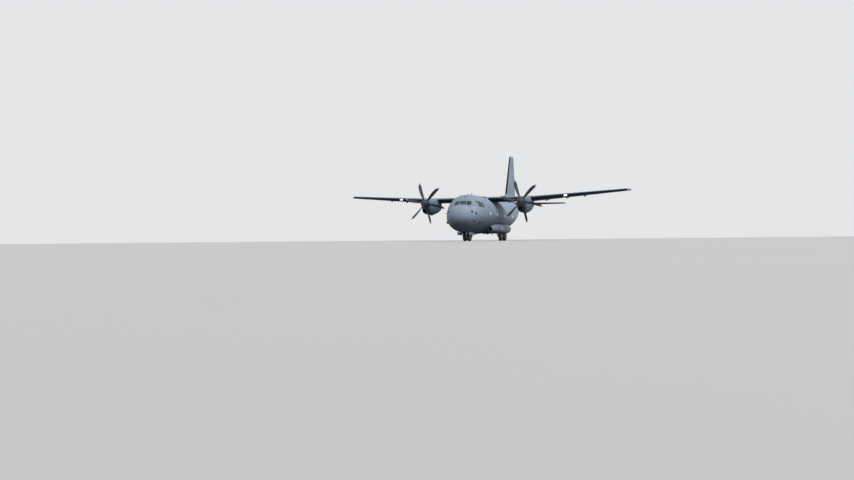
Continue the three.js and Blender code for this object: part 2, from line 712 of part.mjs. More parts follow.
const TAIL = table(['x', 'front', 'back', 'half'], [
  [150, 19130, 21760, 148],
  [6000, 20120, 21500, 66],
  [6150, 20260, 21470, 48],
  [TAIL_HALF, 20520, 21380, 20],
]);

function tailRing(side, { x, front, back, half }, skin = 0) {
  const ring = finRing(0, front, back, half - skin);
  return ring.map((p) => new THREE.Vector3(side * x, p.y, TAIL_Z + p.x));
}

function tailHinge(side, x) {
  const share = (x - TAIL[0].x) / (TAIL[1].x - TAIL[0].x);
  const [front, back, half] = ['front', 'back', 'half'].map(
    (key) => lerp(TAIL[0][key], TAIL[1][key], share));
  const ring = finRing(0, front, back, half);
  const i = ring.findIndex((p) => p.y <= yOf(ELEVATOR_HINGE));
  const part = (yOf(ELEVATOR_HINGE) - ring[i].y) / (ring[i - 1].y - ring[i].y);
  return {
    point: [side * x, yOf(ELEVATOR_HINGE), TAIL_Z],
    radius: lerp(ring[i].x, ring[i - 1].x, part) - 2,
  };
}

function tailHalf(side) {
  const form = loft(TAIL.map((row) => tailRing(side, row)));
  const [a, b] = [tailHinge(side, ELEVATOR_INNER), tailHinge(side, 5850)];
  const { solid: elevator, bay } = movingSurface(form, a, b, 1200, 400);
  const inside = loft([900, 5600].map((x) => {
    const share = x / TAIL_HALF;
    const half = lerp(110, 42, share);
    const front = lerp(19130, 20120, share) + 300;
    const back = ELEVATOR_HINGE + 20;
    return [[front, -half * 0.7], [front, half * 0.7], [front + 350, half], [back, half * 0.62],
      [back, -half * 0.62], [front + 350, -half]].map(
      ([station, z]) => new THREE.Vector3(side * x, yOf(station), TAIL_Z + z));
  }));
  const innerEnd = box([0, side * ELEVATOR_INNER], [yOf(ELEVATOR_HINGE - 60), yOf(22000)],
    [3900, 4480]);
  const tailplane = cut(form, bay, inside, innerEnd, WHOLE_BODY, finForm(GAP));
  return { tailplane, elevator };
}

// The ramp and the door above it are cut from the fuselage's own wall
const RAMP = { front: 12480, back: 15340, half: 1200, slope: 17.4, gap: 46, pivot: [12480, 802] };
const DOOR = { back: 18350, halfFront: 1080, halfBack: 680, pivot: [18310, 2690] };
const KNUCKLE = { inner: 300, outer: 380, radius: 30, lug: 45 };

// A block whose fore and aft faces stand square to the sloping belly
function bellyBlock(from, to, halfFront, halfBack) {
  const lean = Math.tan(rad(RAMP.slope));
  const heightAt = (station) => rowAt(BODY, station).bottom;
  const ring = (station, half, square) => {
    const z = heightAt(station);
    return [[-half, -300], [half, -300], [half, 620], [-half, 620]].map(([x, rise]) =>
      new THREE.Vector3(x, yOf(station - (square ? rise * lean : 0)), z + rise));
  };
  return loft([ring(from, halfFront, from > RAMP.front + 500), ring(to, halfBack, true)]);
}

// The ramp's deck runs on from the hold's floor, on webs that stand on its skin
function rampDeck() {
  const deck = sidePrism([[12530, 1320], [15280, 1720], [15280, 1780], [12530, 1385]], -1110, 1110);
  const web = [[12560, 700], [15240, 1500], [15240, 1740], [12560, 1350]];
  const webs = [-1060, -380, 380, 1060].map((x) => sidePrism(web, x - 20, x + 20));
  return union(deck, ...webs).intersect(wholeForm(WALL / 2));
}

function rearFuselage() {
  const shell = cut(
    bodyForm(CENTRE_END + GAP, 21950),
    bodyForm(CENTRE_END - 5, 21000, WALL));
  const between = RAMP.back + PANEL_GAP;
  const ramp = bellyBlock(RAMP.front, RAMP.back, RAMP.half, RAMP.half);
  const door = bellyBlock(between, DOOR.back, DOOR.halfFront, DOOR.halfBack);
  const side = PANEL_GAP;
  const opening = union(
    bellyBlock(RAMP.front - RAMP.gap, between, RAMP.half + side, RAMP.half + side),
    bellyBlock(between - side, DOOR.back + side, DOOR.halfFront + side, DOOR.halfBack + side));
  const { inner, outer, radius, lug } = KNUCKLE;
  const knuckles = ([station, z], grow = 0, wide = 0) => [1, -1].map((sign) => bar(
    [sign * (inner - wide), yOf(station), z], [sign * (outer + wide), yOf(station), z],
    radius + grow, 16));
  const lugs = (from, to, low, high) => [1, -1].map((sign) =>
    box([sign * (outer + GAP), sign * (outer + lug)], [yOf(from), yOf(to)], [low, high]));
  return {
    fuselage: union(
      cut(shell, opening, ...knuckles(DOOR.pivot, 8, GAP)),
      ...lugs(12405, RAMP.front - 14, RAMP.pivot[1] - 20, RAMP.pivot[1] + 40),
      ...lugs(DOOR.pivot[0] + 14, DOOR.pivot[0] + 130, DOOR.pivot[1] - 14, DOOR.pivot[1] + 22)),
    ramp: union(shell.intersect(ramp), rampDeck(), ...knuckles(RAMP.pivot)),
    door: union(shell.intersect(door), ...knuckles(DOOR.pivot)),
  };
}

function cargoFloor() {
  const plate = box([-1700, 1700], [yOf(WELL.back + 200), yOf(CENTRE_END - 5)],
    [FLOOR_TOP - FLOOR_THICK, FLOOR_TOP]);
  const walls = bodyForm(3300, CENTRE_END + 5, WALL + GAP);
  const doorClear = box([1150, 2100], [yOf(CREW_DOOR.front - 60), yOf(CREW_DOOR.back + 60)],
    [1000, 2000]);
  return cut(plate.intersect(walls), doorClear);
}

const centreFuselage = () => cut(
  bodyForm(FORWARD_END + GAP, CENTRE_END),
  bodyForm(FORWARD_END - 5, CENTRE_END + 5, WALL),
  centreForm(GAP + 0.2));

// The fairing that carries the roof over the wing
const FAIRING = table(['station', 'half', 'top'], [
  [6300, 420, 4296],
  [6800, 760, 4345],
  [7400, 960, 4410],
  [8200, 1020, 4432],
  [9600, 1000, 4425],
  [10800, 920, 4385],
  [11700, 700, 4325],
  [12300, 420, 4285],
]);

function wingFairing() {
  const middle = 3900;
  const rings = FAIRING.map(({ station, half, top }) =>
    Array.from({ length: 20 }, (_, i) => {
      const [x, z] = rounded(((i + 0.5) / 20) * 2 * Math.PI, half, top - middle, 2.4);
      return new THREE.Vector3(x, yOf(station), middle + z);
    }));
  return cut(loft(rings), WHOLE_BODY, centreForm(GAP + 0.2));
}

function wheelRim({ rim, bore, width }) {
  const [edge, web] = [width * 0.4, 26];
  const profile = [[bore, -edge * 0.75], [bore + 55, -edge * 0.75], [bore + 55, -web],
    [rim - 22, -web], [rim - 22, -edge], [rim + 16, -edge], [rim, -edge + 18],
    [rim, edge - 18], [rim + 16, edge], [rim - 22, edge], [rim - 22, web], [bore + 55, web],
    [bore + 55, edge * 0.75], [bore, edge * 0.75], [bore, -edge * 0.75]];
  return new THREE.LatheGeometry(
    profile.map(([r, y]) => new THREE.Vector2(r, y)), TYRE_SIDES, Math.PI / TYRE_SIDES);
}

function tyre({ rim, radius, width }) {
  const half = width / 2;
  const seat = width * 0.4 - 18 - GAP;
  const bead = rim + 0.5;
  const profile = [[bead, -seat], [rim + 30, -seat - 10], [rim + (radius - rim) * 0.45, -half],
    [radius * 0.9, -half * 0.93], [radius, -half * 0.55], [radius, half * 0.55],
    [radius * 0.9, half * 0.93], [rim + (radius - rim) * 0.45, half], [rim + 30, seat + 10],
    [bead, seat], [bead, -seat]];
  return new THREE.LatheGeometry(
    profile.map(([r, y]) => new THREE.Vector2(r, y)), TYRE_SIDES, Math.PI / TYRE_SIDES);
}

const mainAxleZ = MAIN.radius * FLAT;
const noseAxleZ = NOSE.radius * FLAT;

// Two trailing levers with their struts, tied by one beam along the bay's wall
function mainLegs(side) {
  const [wall, arm] = [BAY.inner + GAP, 1545];
  const collar = MAIN.x - MAIN.width * 0.3 - GAP;
  const beam = box([side * wall, side * (wall + 60)], [yOf(7760), yOf(10100)], [930, 1080]);
  const parts = MAIN.stations.map((station) => {
    const pivot = yOf(station - 480);
    const axle = yOf(station);
    return union(
      bar([side * (wall + 30), pivot, 1000], [side * 1600, pivot, 1000], 70, 10),
      bar([side * arm, pivot, 1000], [side * arm, axle, mainAxleZ], 62, 10, 55),
      bar([side * arm, axle - 130, mainAxleZ + 160], [side * arm, axle - 60, BAY.roof - GAP - 14],
        52, 10),
      bar([side * arm, axle, mainAxleZ], [side * collar, axle, mainAxleZ], 78, 10),
      bar([side * 1630, axle, mainAxleZ], [side * (collar - 6), axle, mainAxleZ], 150, 14),
      bar([side * 1490, axle, mainAxleZ], [side * 1960, axle, mainAxleZ], MAIN.bore - 7, 12));
  });
  return union(beam, ...parts);
}

function noseLeg() {
  const y = yOf(STEER_STATION);
  const strut = bar([0, y, LEG_FOOT], [0, y, WELL.roof - GAP], 85, 16);
  const brace = bar([0, y - 40, 1080], [0, yOf(WELL.front + 60), 1600], 38);
  const lug = box([-60, 60], [yOf(WELL.front + GAP), yOf(WELL.front + 110)], [1530, 1670]);
  return cut(union(strut, brace, lug), bar([0, y, LEG_FOOT - 5], [0, y, LEG_FOOT + 160], 58, 16));
}

function noseFork() {
  const y = yOf(STEER_STATION);
  const axle = yOf(NOSE.station);
  const hubEnd = NOSE.x + NOSE.width * 0.3 + GAP;
  const caps = [1, -1].map((side) =>
    bar([side * hubEnd, axle, noseAxleZ], [side * (hubEnd + 26), axle, noseAxleZ], 58, 12));
  return union(
    ...caps,
    bar([0, y, 560], [0, y, LEG_FOOT + 160 - GAP], 54, 12),
    bar([0, y, 560], [0, y, 730], 62, 12),
    bar([0, y, 620], [0, axle, noseAxleZ], 50, 10),
    bar([-300, axle, noseAxleZ], [300, axle, noseAxleZ], NOSE.bore - 7, 12));
}

function noseDoor(side) {
  const [front, back] = [WELL.front + 60, WELL.back - 60];
  const outline = [[front, 840], [back, 820], [back - 40, 560], [front + 90, 580]];
  const plate = sidePrism(outline, side > 0 ? 540 : -566, side > 0 ? 566 : -540);
  const hinges = [front + 250, back - 250].map((station) =>
    box([side * 540, side * 566], [yOf(station - 60), yOf(station + 60)], [800, 930]));
  return cut(union(plate, ...hinges), WHOLE_BODY);
}

// The scene graph
const aircraft = new THREE.Group();
aircraft.name = 'military_transport_plane';

function add(name, shape, finish, parent = aircraft) {
  const geometry = shape.isBufferGeometry ? shape : geometryOf(shape);
  const mesh = new THREE.Mesh(geometry, finish);
  mesh.name = name;
  parent.add(mesh);
  return mesh;
}

function groupAt(x, station, z) {
  const group = new THREE.Group();
  group.position.set(x, yOf(station), z);
  aircraft.add(group);
  return group;
}

const rear = rearFuselage();
const tail = finAndRudder();

add('radome', bodyForm(0, RADOME_END), FINISH.radome);
add('fuselage_forward', forwardFuselage(), FINISH.grey);
add('fuselage_centre', centreFuselage(), FINISH.grey);
add('fuselage_rear', rear.fuselage, FINISH.grey);
add('cargo_floor', cargoFloor(), FINISH.deck);
add('cockpit_interior', cockpitInterior(), FINISH.deck);
add('cockpit_glazing', cockpitGlazing(), FINISH.glass);
add('crew_door', crewDoor(), FINISH.grey);
add('cargo_ramp', rear.ramp, FINISH.grey);
add('cargo_door', rear.door, FINISH.grey);
add('wing_fairing', wingFairing(), FINISH.grey);
add('fin', tail.fin, FINISH.grey);
add('rudder', tail.rudder, FINISH.grey);

const surfaces = new Map([1, -1].map((side) => [side, wingSurfaces(side)]));
const centreBays = [1, -1].map((side) => surfaces.get(side)[0].bay);
add('wing_centre', cut(centreForm(), ...centreBays), FINISH.grey);

for (const side of [1, -1]) {
  const name = (piece) => piece + '_' + sideName(side);
  const [, ...outerBays] = surfaces.get(side).map(({ bay }) => bay);
  add(name('wing_outer'), cut(outerForm(side), ...outerBays), FINISH.grey);
  for (const surface of surfaces.get(side)) add(name(surface.name), surface.solid, FINISH.grey);

  const { tailplane, elevator } = tailHalf(side);
  add(name('tailplane'), tailplane, FINISH.grey);
  add(name('elevator'), elevator, FINISH.grey);

  add(name('sponson'), sponson(side), FINISH.grey);
  add(name('nacelle'), nacelle(side), FINISH.grey);
  add(name('engine'), engine(side), FINISH.core);
  const pipe = groupAt(side * ENGINE_X, ENGINE_END + GAP, PIPE_Z);
  add(name('exhaust'), exhaustPipe(), FINISH.metal, pipe);
  const hub = groupAt(side * ENGINE_X, PROP_STATION, HUB_Z);
  add(name('propeller'), propeller(), FINISH.dark, hub);
  add(name('spinner'), spinner(), FINISH.dark, hub);

  add(name('main_gear_legs'), mainLegs(side), FINISH.white);
  MAIN.stations.forEach((station, i) => {
    const axle = groupAt(side * MAIN.x, station, mainAxleZ);
    axle.rotation.z = Math.PI / 2;
    const place = i === 0 ? 'front' : 'rear';
    add(name('main_wheel_' + place), wheelRim(MAIN), FINISH.steel, axle);
    add(name('main_tyre_' + place), tyre(MAIN), FINISH.rubber, axle);
  });

  add(name('nose_gear_door'), noseDoor(side), FINISH.grey);
  const noseAxle = groupAt(side * NOSE.x, NOSE.station, noseAxleZ);
  noseAxle.rotation.z = Math.PI / 2;
  add(name('nose_wheel'), wheelRim(NOSE), FINISH.steel, noseAxle);
  add(name('nose_tyre'), tyre(NOSE), FINISH.rubber, noseAxle);
}

add('nose_gear_leg', noseLeg(), FINISH.white);
add('nose_gear_fork', noseFork(), FINISH.white);

export default aircraft;
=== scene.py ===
# Twin-turboprop military transport plane, parked: the looks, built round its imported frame.
# Metres, +Z up. The nose points along -Y and the port wing along +X.
# A station is a distance aft of the nose tip, and Y is the station less half the length.
import math
import bmesh
import bpy
import numpy as np
from mathutils import Matrix, Vector


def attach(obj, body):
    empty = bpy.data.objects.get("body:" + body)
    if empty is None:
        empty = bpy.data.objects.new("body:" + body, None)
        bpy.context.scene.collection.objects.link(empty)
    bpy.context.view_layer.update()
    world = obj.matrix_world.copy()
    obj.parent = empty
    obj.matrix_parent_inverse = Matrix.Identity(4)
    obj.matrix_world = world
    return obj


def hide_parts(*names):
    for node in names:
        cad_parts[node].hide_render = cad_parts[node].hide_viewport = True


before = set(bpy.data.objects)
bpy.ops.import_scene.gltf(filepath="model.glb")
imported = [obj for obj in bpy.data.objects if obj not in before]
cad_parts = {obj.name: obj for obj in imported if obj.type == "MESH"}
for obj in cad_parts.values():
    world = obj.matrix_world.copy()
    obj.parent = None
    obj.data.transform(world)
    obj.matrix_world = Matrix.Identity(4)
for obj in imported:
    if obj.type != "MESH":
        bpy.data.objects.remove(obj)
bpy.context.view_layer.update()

# Driving sizes, as in the part
LENGTH = 22.7
HALF_SPAN = 14.35
GAP = 0.0003
PANEL_GAP = 0.016
WALL = 0.11
COCKPIT_WALL = 0.08
RADOME_END = 0.8
FORWARD_END = 5.9
CENTRE_END = 12.4
FLOOR_TOP = 1.4
DECK_TOP = 2.35
WING_Z = 4.05
PANEL_JOINT = 5.27
ROOT_LE = 7.35
ROOT_CHORD = 3.4
TIP_LE = 8.25
TIP_CHORD = 1.685
DIHEDRAL = 4.2
ENGINE_X = 4.75
HUB_Z = 3.69
PROP_STATION = 4.7
COWL_FRONT = 5.0
COWL_END = 8.4
PIPE_Z = 3.47
TAIL_Z = 4.16
SIDES = (1, -1)

# How far seams, seals and frames stand out of a skin, and how wide a seam is
PROUD = 0.0012
SEAM = 0.009


def y_of(station):
    return station - LENGTH / 2


def at(x, station, z):
    return Vector((x, y_of(station), z))


def side_name(side):
    return "port" if side > 0 else "starboard"


def circle(count):
    return np.linspace(0, 2 * math.pi, count, endpoint=False)


class Rows:
    """Rows of named columns, joined by smooth curves that don't overshoot."""

    def __init__(self, columns, rows, power=1.0):
        self.columns = columns.split()
        self.values = np.array(rows, float)
        self.power = power
        self.knots = self.values[:, 0] ** power

    def at(self, where):
        x = np.clip(np.asarray(where, float) ** self.power, self.knots[0], self.knots[-1])
        return {name: monotone(self.knots, self.values[:, i], x) for i, name in enumerate(self.columns)}


def monotone(xs, ys, x):
    """The heights at x of a smooth curve through points, which stays between neighbouring ones."""
    h, d = np.diff(xs), np.diff(ys) / np.diff(xs)
    slope = np.zeros(len(xs))
    for i in range(1, len(xs) - 1):
        if d[i - 1] * d[i] > 0:
            a, b = 2 * h[i] + h[i - 1], h[i] + 2 * h[i - 1]
            slope[i] = (a + b) / (a / d[i - 1] + b / d[i])
    slope[0], slope[-1] = d[0], d[-1]
    k = np.clip(np.searchsorted(xs, x, "right") - 1, 0, len(xs) - 2)
    t = (x - xs[k]) / h[k]
    return (ys[k] * (1 + 2 * t) * (1 - t) ** 2 + h[k] * slope[k] * t * (1 - t) ** 2
            + ys[k + 1] * t * t * (3 - 2 * t) + h[k] * slope[k + 1] * t * t * (t - 1))


# Materials: a small set of helpers over the node tree

class Value:
    """A number in a finish's node tree, so that a formula reads as a sum and makes its own nodes."""

    def __init__(self, finish, socket):
        self.finish = finish
        self.socket = socket

    def __add__(self, other):
        return self.finish.math("ADD", self, other)

    def __sub__(self, other):
        return self.finish.math("SUBTRACT", self, other)

    def __mul__(self, other):
        return self.finish.math("MULTIPLY", self, other)

    def __truediv__(self, other):
        return self.finish.math("DIVIDE", self, other)

    def __pow__(self, other):
        return self.finish.math("POWER", self, other)


class Finish:
    """A material, and the nodes that make its look."""

    def __init__(self, name, color, roughness, metallic=0.0, shine=0.5):
        self.material = bpy.data.materials.new(name)
        self.material.use_nodes = True
        self.material.diffuse_color = (*color, 1)
        self.tree = self.material.node_tree
        self.inputs = self.tree.nodes["Principled BSDF"].inputs
        self.set(("Base Color", (*color, 1)), ("Roughness", roughness), ("Metallic", metallic),
                 ("Specular IOR Level", shine))
        self.corner = self.node("TexCoord").outputs

    def set(self, *values):
        for name, value in values:
            self.link(value, self.inputs[name])

    def node(self, kind, **settings):
        made = self.tree.nodes.new("ShaderNode" + kind)
        for key, value in settings.items():
            setattr(made, key, value)
        return made

    def link(self, value, socket):
        value = getattr(value, "socket", value)
        if isinstance(value, bpy.types.NodeSocket):
            self.tree.links.new(value, socket)
        else:
            socket.default_value = value

    def math(self, operation, *values):
        made = self.node("Math", operation=operation)
        for value, socket in zip(values, made.inputs):
            self.link(value, socket)
        return Value(self, made.outputs[0])

    def span(self, value, low, high, start=0.0, end=1.0):
        made = self.node("MapRange", clamp=True)
        for given, socket in zip((value, low, high, start, end), made.inputs):
            self.link(given, socket)
        return Value(self, made.outputs[0])

    def mix(self, share, a, b, blend="MIX"):
        made = self.node("Mix", data_type="RGBA", blend_type=blend)
        self.link(share, made.inputs["Factor"])
        for value, socket in ((a, made.inputs[6]), (b, made.inputs[7])):
            self.link((*value, 1) if isinstance(value, tuple) else value, socket)
        return made.outputs[2]

    def noise(self, scale, detail, stretch=None):
        made = self.node("TexNoise")
        place = self.corner["Object"]
        if stretch:
            mapping = self.node("Mapping")
            mapping.inputs["Scale"].default_value = stretch
            self.link(place, mapping.inputs["Vector"])
            place = mapping.outputs[0]
        self.link(place, made.inputs["Vector"])
        made.inputs["Scale"].default_value = scale
        made.inputs["Detail"].default_value = detail
        return Value(self, made.outputs["Fac"])

    def cloud(self, scale, detail, low, high, start=0.0, end=1.0):
        """Soft patches that run from one value to another."""
        return self.span(self.noise(scale, detail), low, high, start, end)

    def axes(self, coordinate="Object"):
        made = self.node("SeparateXYZ")
        self.link(self.corner[coordinate], made.inputs[0])
        return [Value(self, output) for output in made.outputs]

    def grey(self, level):
        made = self.node("CombineColor")
        for socket in made.inputs:
            self.link(level, socket)
        return made.outputs[0]

    def from_joint(self, across, size):
        """How far a place is from the nearest of evenly spaced joints."""
        return self.math("PINGPONG", across / size, 0.5) * size

    def bump(self, height, distance, strength):
        made = self.node("Bump")
        made.inputs["Distance"].default_value = distance
        made.inputs["Strength"].default_value = strength
        self.link(height, made.inputs["Height"])
        self.link(made.outputs[0], self.inputs["Normal"])


def panel_grid(made, kind):
    """Two coordinates whose whole numbers are the panel joints, and the panels' sizes in metres."""
    x, y, z = made.axes()
    if kind == "body":
        around = made.math("ARCTAN2", x, z - 2.5)
        return (y, 1.06), (around * 1.75, 0.82)
    if kind == "wing":
        out = made.math("ABSOLUTE", x)
        sweep = made.math("MAXIMUM", out - PANEL_JOINT, 0) * 0.099
        return (out, 1.21), (y - (sweep + y_of(ROOT_LE)), 0.68)
    if kind == "fin":
        lean = (z - 4.25) * 0.457
        return (z, 0.93), (y - (lean + y_of(17.65)), 0.66)
    if kind == "tail":
        out = made.math("ABSOLUTE", x)
        return (out, 0.97), (y - (out * 0.169 + y_of(19.1)), 0.55)
    if kind == "radome":
        return (y, 40.0), (z, 40.0)
    return (y, 0.78), (z, 0.5)


def rivets(made, across, size, run):
    """Rows of rivet heads beside the joints of one direction: 1 on a head, 0 off it."""
    inset, pitch = 0.024, 0.05
    from_row = made.from_joint(across, size) - inset
    from_head = made.from_joint(run, pitch)
    reach = made.math("SQRT", from_row ** 2 + from_head ** 2)
    return made.span(reach, 0.0035, 0.0055, 1, 0)


def panel_tone(made, row, column):
    """A slightly different grey for each panel."""
    seat = made.node("CombineXYZ")
    made.link(row, seat.inputs[0])
    made.link(column, seat.inputs[1])
    tone = made.node("TexWhiteNoise", noise_dimensions="3D")
    made.link(seat.outputs[0], tone.inputs["Vector"])
    return made.span(tone.outputs["Value"], 0, 1, 0.965, 1.035)


def weathered(made, color, tone, joint, heads):
    """The paint's colour with clouds, streaks aft, and darker joints and rivets."""
    blotch = made.cloud(0.55, 4, 0.3, 0.7, 0.93, 1.07)
    fine = made.cloud(9, 5, 0.3, 0.7, 0.975, 1.025)
    streak = made.span(made.noise(1.0, 4, stretch=(2.6, 0.22, 2.6)), 0.35, 0.75, 1.05, 0.88)
    shade = (tone * blotch) * (fine * streak)
    shade = shade * made.span(joint, 0, 1, 0.72, 1.0) * made.span(heads, 0, 1, 1.0, 0.86)
    return made.mix(1.0, color, made.grey(shade), "MULTIPLY")


def painted(name, color, kind, boot=None, boot_foot=-50.0, soot=None, belly_shade=0.0, under=0.55, turn=0.2):
    """Matt paint over riveted panels, with painted shade where it faces down and towards the belly, and soot
    or a rubber boot where asked.
    """
    made = Finish(name, color, 0.5, shine=0.07)
    _, y, z = made.axes()
    (u, u_size), (v, v_size) = panel_grid(made, kind)
    row = made.math("FLOOR", u / u_size)
    staggered = v + row * (0.37 * v_size)
    column = made.math("FLOOR", staggered / v_size)
    nearest = made.math("MINIMUM", made.from_joint(u, u_size), made.from_joint(staggered, v_size))
    joint = made.span(nearest, 0.003, 0.009)
    heads = made.math("MAXIMUM", rivets(made, u, u_size, staggered), rivets(made, staggered, v_size, u))
    paint = weathered(made, color, panel_tone(made, row, column), joint, heads)
    # Painted shade: where the surface faces down, the paint is mixed towards a dark navy, by up to the share
    # under.
    facing_up = made.axes("Normal")[2]
    paint = made.mix(made.span(facing_up, -0.75, turn, under, 0), paint, (0.013, 0.019, 0.031))
    # Painted shade: darker towards the bottom, from about 2.9 m down to 1.1 m, with a wandering edge.
    if belly_shade:
        low = made.span(z + made.noise(0.9, 4) * 0.5, 1.1, 2.9, belly_shade, 0)
        paint = made.mix(low, paint, (0.024, 0.034, 0.048))
    if soot:
        paint = made.mix(made.span(y + made.noise(2.0, 3), *soot), paint, (0.045, 0.043, 0.042))
    rough = made.cloud(3.0, 4, 0.3, 0.7, 0.44, 0.58)
    height = made.noise(1.6, 2) * 0.9 + joint + heads * 0.35
    if boot:
        edge = made.span(v, boot - 0.006, boot + 0.006, 1, 0) * made.span(z, boot_foot, boot_foot + 0.01)
        worn = made.cloud(6.0, 4, 0.3, 0.75)
        paint = made.mix(edge, paint, made.mix(worn, (0.004, 0.005, 0.009), (0.012, 0.014, 0.02)))
        rough = rough + edge * 0.12
        height = height + edge * made.math("PINGPONG", v / 0.05, 0.5)
    made.set(("Base Color", paint), ("Roughness", rough))
    made.bump(height, 0.003, 0.55)
    return made.material


def plain(name, color, roughness, metallic=0.0, spread=0.12, scale=12.0, dirt=None, shine=0.5, lit=None):
    """A finish with mottled tone and roughness, dirt in patches if asked, and light if it is a lamp."""
    made = Finish(name, color, roughness, metallic, shine)
    cloud = made.noise(scale, 5)
    tone = made.mix(1.0, color, made.grey(made.span(cloud, 0.3, 0.7, 1 - spread, 1 + spread)), "MULTIPLY")
    if dirt:
        tone = made.mix(made.cloud(scale * 0.35, 5, 0.42, 0.75, 0, 0.75), tone, dirt)
    rough = made.span(cloud, 0.3, 0.7, max(0.03, roughness - 0.08), min(1, roughness + 0.1))
    made.set(("Base Color", tone), ("Roughness", rough))
    made.bump(made.noise(scale * 3, 4), 0.0012, 0.5)
    if lit is not None:
        made.set(("Coat Weight", 1.0), ("Coat Roughness", 0.08), ("Emission Color", (*color, 1)),
                 ("Emission Strength", lit))
    return made.material


def lamp(name, color, strength):
    return plain(name, color, 0.15, lit=strength)


def glass(name, color, transmission, roughness=0.03):
    made = Finish(name, color, roughness)
    made.set(("Transmission Weight", transmission), ("IOR", 1.45),
             ("Roughness", made.cloud(5.0, 4, 0.35, 0.8, roughness, roughness + 0.06)))
    return made.material


def tyre_rubber(name, centre, radius):
    """Black rubber with dust on the tread and a duller sidewall, by its distance from the axle."""
    made = Finish(name, (0.02, 0.02, 0.022), 0.8)
    _, y, z = made.axes()
    reach = made.math("SQRT", (y - centre.y) ** 2 + (z - centre.z) ** 2)
    tread = made.span(reach, radius * 0.93, radius * 0.99)
    dust = made.cloud(14, 6, 0.35, 0.7, 0, 0.5)
    tone = made.mix(dust, (0.018, 0.018, 0.02), (0.075, 0.07, 0.062))
    made.set(("Base Color", made.mix(tread * 0.5, tone, (0.06, 0.057, 0.052))),
             ("Roughness", made.cloud(20, 5, 0.3, 0.7, 0.7, 0.92)))
    rings = made.math("PINGPONG", reach / 0.018, 0.5)
    made.bump(rings * 0.4 + made.noise(60, 3), 0.0015, 0.5)
    return made.material


GREY = (0.212, 0.268, 0.343)
# The wing and tailplane grey is the fuselage grey made darker: painted shade.
SHADED_WING_GREY = (0.172, 0.22, 0.286)
# Each skin's under setting is its share of painted shade where it faces down.
SKIN = {
    "body": painted("paint_fuselage", GREY, "body", belly_shade=0.68, under=0.78),
    "radome": painted("paint_radome", (0.2, 0.252, 0.322), "radome", belly_shade=0.68, under=0.78),
    "wing": painted("paint_wing", SHADED_WING_GREY, "wing", boot=0.2, under=0.95),
    "fin": painted("paint_fin", GREY, "fin", boot=0.13, boot_foot=5.2),
    "tail": painted("paint_tail", SHADED_WING_GREY, "tail", boot=0.14, under=0.95),
    "pod": painted("paint_pod", (0.235, 0.295, 0.37), "pod", under=0.88),
    # Painted shade: the nacelle's grey is darker than the fuselage's and darkens from higher up its sides;
    # the soot darkens its rear.
    "cowl": painted("paint_cowl", (0.15, 0.2, 0.262), "pod", soot=(-4.2, -2.6, 0, 0.7), under=0.95, turn=0.5),
}
TRIM = plain("window_posts", (0.23, 0.275, 0.325), 0.5, spread=0.08)
PALE = plain("pale_metal", (0.56, 0.59, 0.62), 0.5, 0.1, spread=0.1)
# The sealant's dark grey also serves as painted shade round the crew door's handle.
DARK = plain("dark_sealant_and_painted_shade", (0.022, 0.024, 0.028), 0.6)
# The black rubber finish also serves as painted shade on the wing fairing's front.
BLACK = plain("black_rubber_and_painted_shade", (0.015, 0.015, 0.017), 0.75)
BLADE_PAINT = plain("blade_paint", (0.024, 0.028, 0.038), 0.45, spread=0.2, scale=7.0,
                    dirt=(0.05, 0.05, 0.052), shine=0.3)
TIP_PAINT = plain("tip_paint", (0.34, 0.35, 0.36), 0.5, dirt=(0.12, 0.12, 0.12))
SPINNER_PAINT = plain("spinner_paint", (0.03, 0.036, 0.05), 0.42, spread=0.15, scale=5.0, shine=0.3)
STEEL = plain("bright_steel", (0.62, 0.63, 0.64), 0.22, 1.0, spread=0.08)
OLEO = plain("chromed_rod", (0.8, 0.81, 0.82), 0.08, 1.0, spread=0.04)
ALLOY = plain("wheel_alloy", (0.45, 0.46, 0.46), 0.38, 0.85, dirt=(0.09, 0.08, 0.07), scale=16.0)
HOT_METAL = plain("heat_stained_pipe", (0.2, 0.165, 0.14), 0.36, 1.0, spread=0.35, scale=6.0,
                  dirt=(0.03, 0.028, 0.027))
GEAR_WHITE = plain("gear_enamel", (0.62, 0.64, 0.64), 0.35, spread=0.07, dirt=(0.2, 0.18, 0.15), scale=9.0)
BAY_PAINT = plain("bay_primer", (0.3, 0.33, 0.31), 0.6, dirt=(0.07, 0.065, 0.06), scale=5.0)
CORE = plain("engine_block", (0.1, 0.105, 0.115), 0.45, 0.7)
CABIN = plain("cabin_lining", (0.32, 0.35, 0.33), 0.7, spread=0.08, scale=4.0)
DECK = plain("deck_plate", (0.11, 0.118, 0.125), 0.62, 0.3, spread=0.2, scale=5.0, dirt=(0.05, 0.047, 0.043))
PANEL = plain("instrument_panel", (0.035, 0.037, 0.04), 0.6)
TREAD = plain("tread_plate", (0.1, 0.105, 0.11), 0.6, 0.4, spread=0.15, scale=9.0, dirt=(0.05, 0.048, 0.045))
DISPLAY = lamp("display_glass", (0.012, 0.03, 0.036), 1.0)
FABRIC = plain("seat_cloth", (0.045, 0.055, 0.05), 0.95, spread=0.25, scale=60.0)
HOSE = plain("brake_hose", (0.03, 0.03, 0.032), 0.55)
PANE = glass("flight_deck_pane", (0.05, 0.12, 0.16), 0.6, 0.02)
# Almost white and barely clear: painted light, for daylight seen through the cabin.
PORTHOLE_PAINTED_LIGHT = glass("cabin_pane", (0.93, 0.95, 0.97), 0.05, 0.04)
LENS = glass("lamp_lens", (0.95, 0.97, 1.0), 0.6)
RED = lamp("red_lens", (0.2, 0.008, 0.008), 0.05)
GREEN = lamp("green_lens", (0.008, 0.15, 0.045), 0.05)
TAIL_LENS = lamp("tail_lens", (0.75, 0.76, 0.78), 0.15)
WHITE_LAMP = lamp("landing_lamp", (1.0, 0.93, 0.84), 6.0)


# Meshes and solids

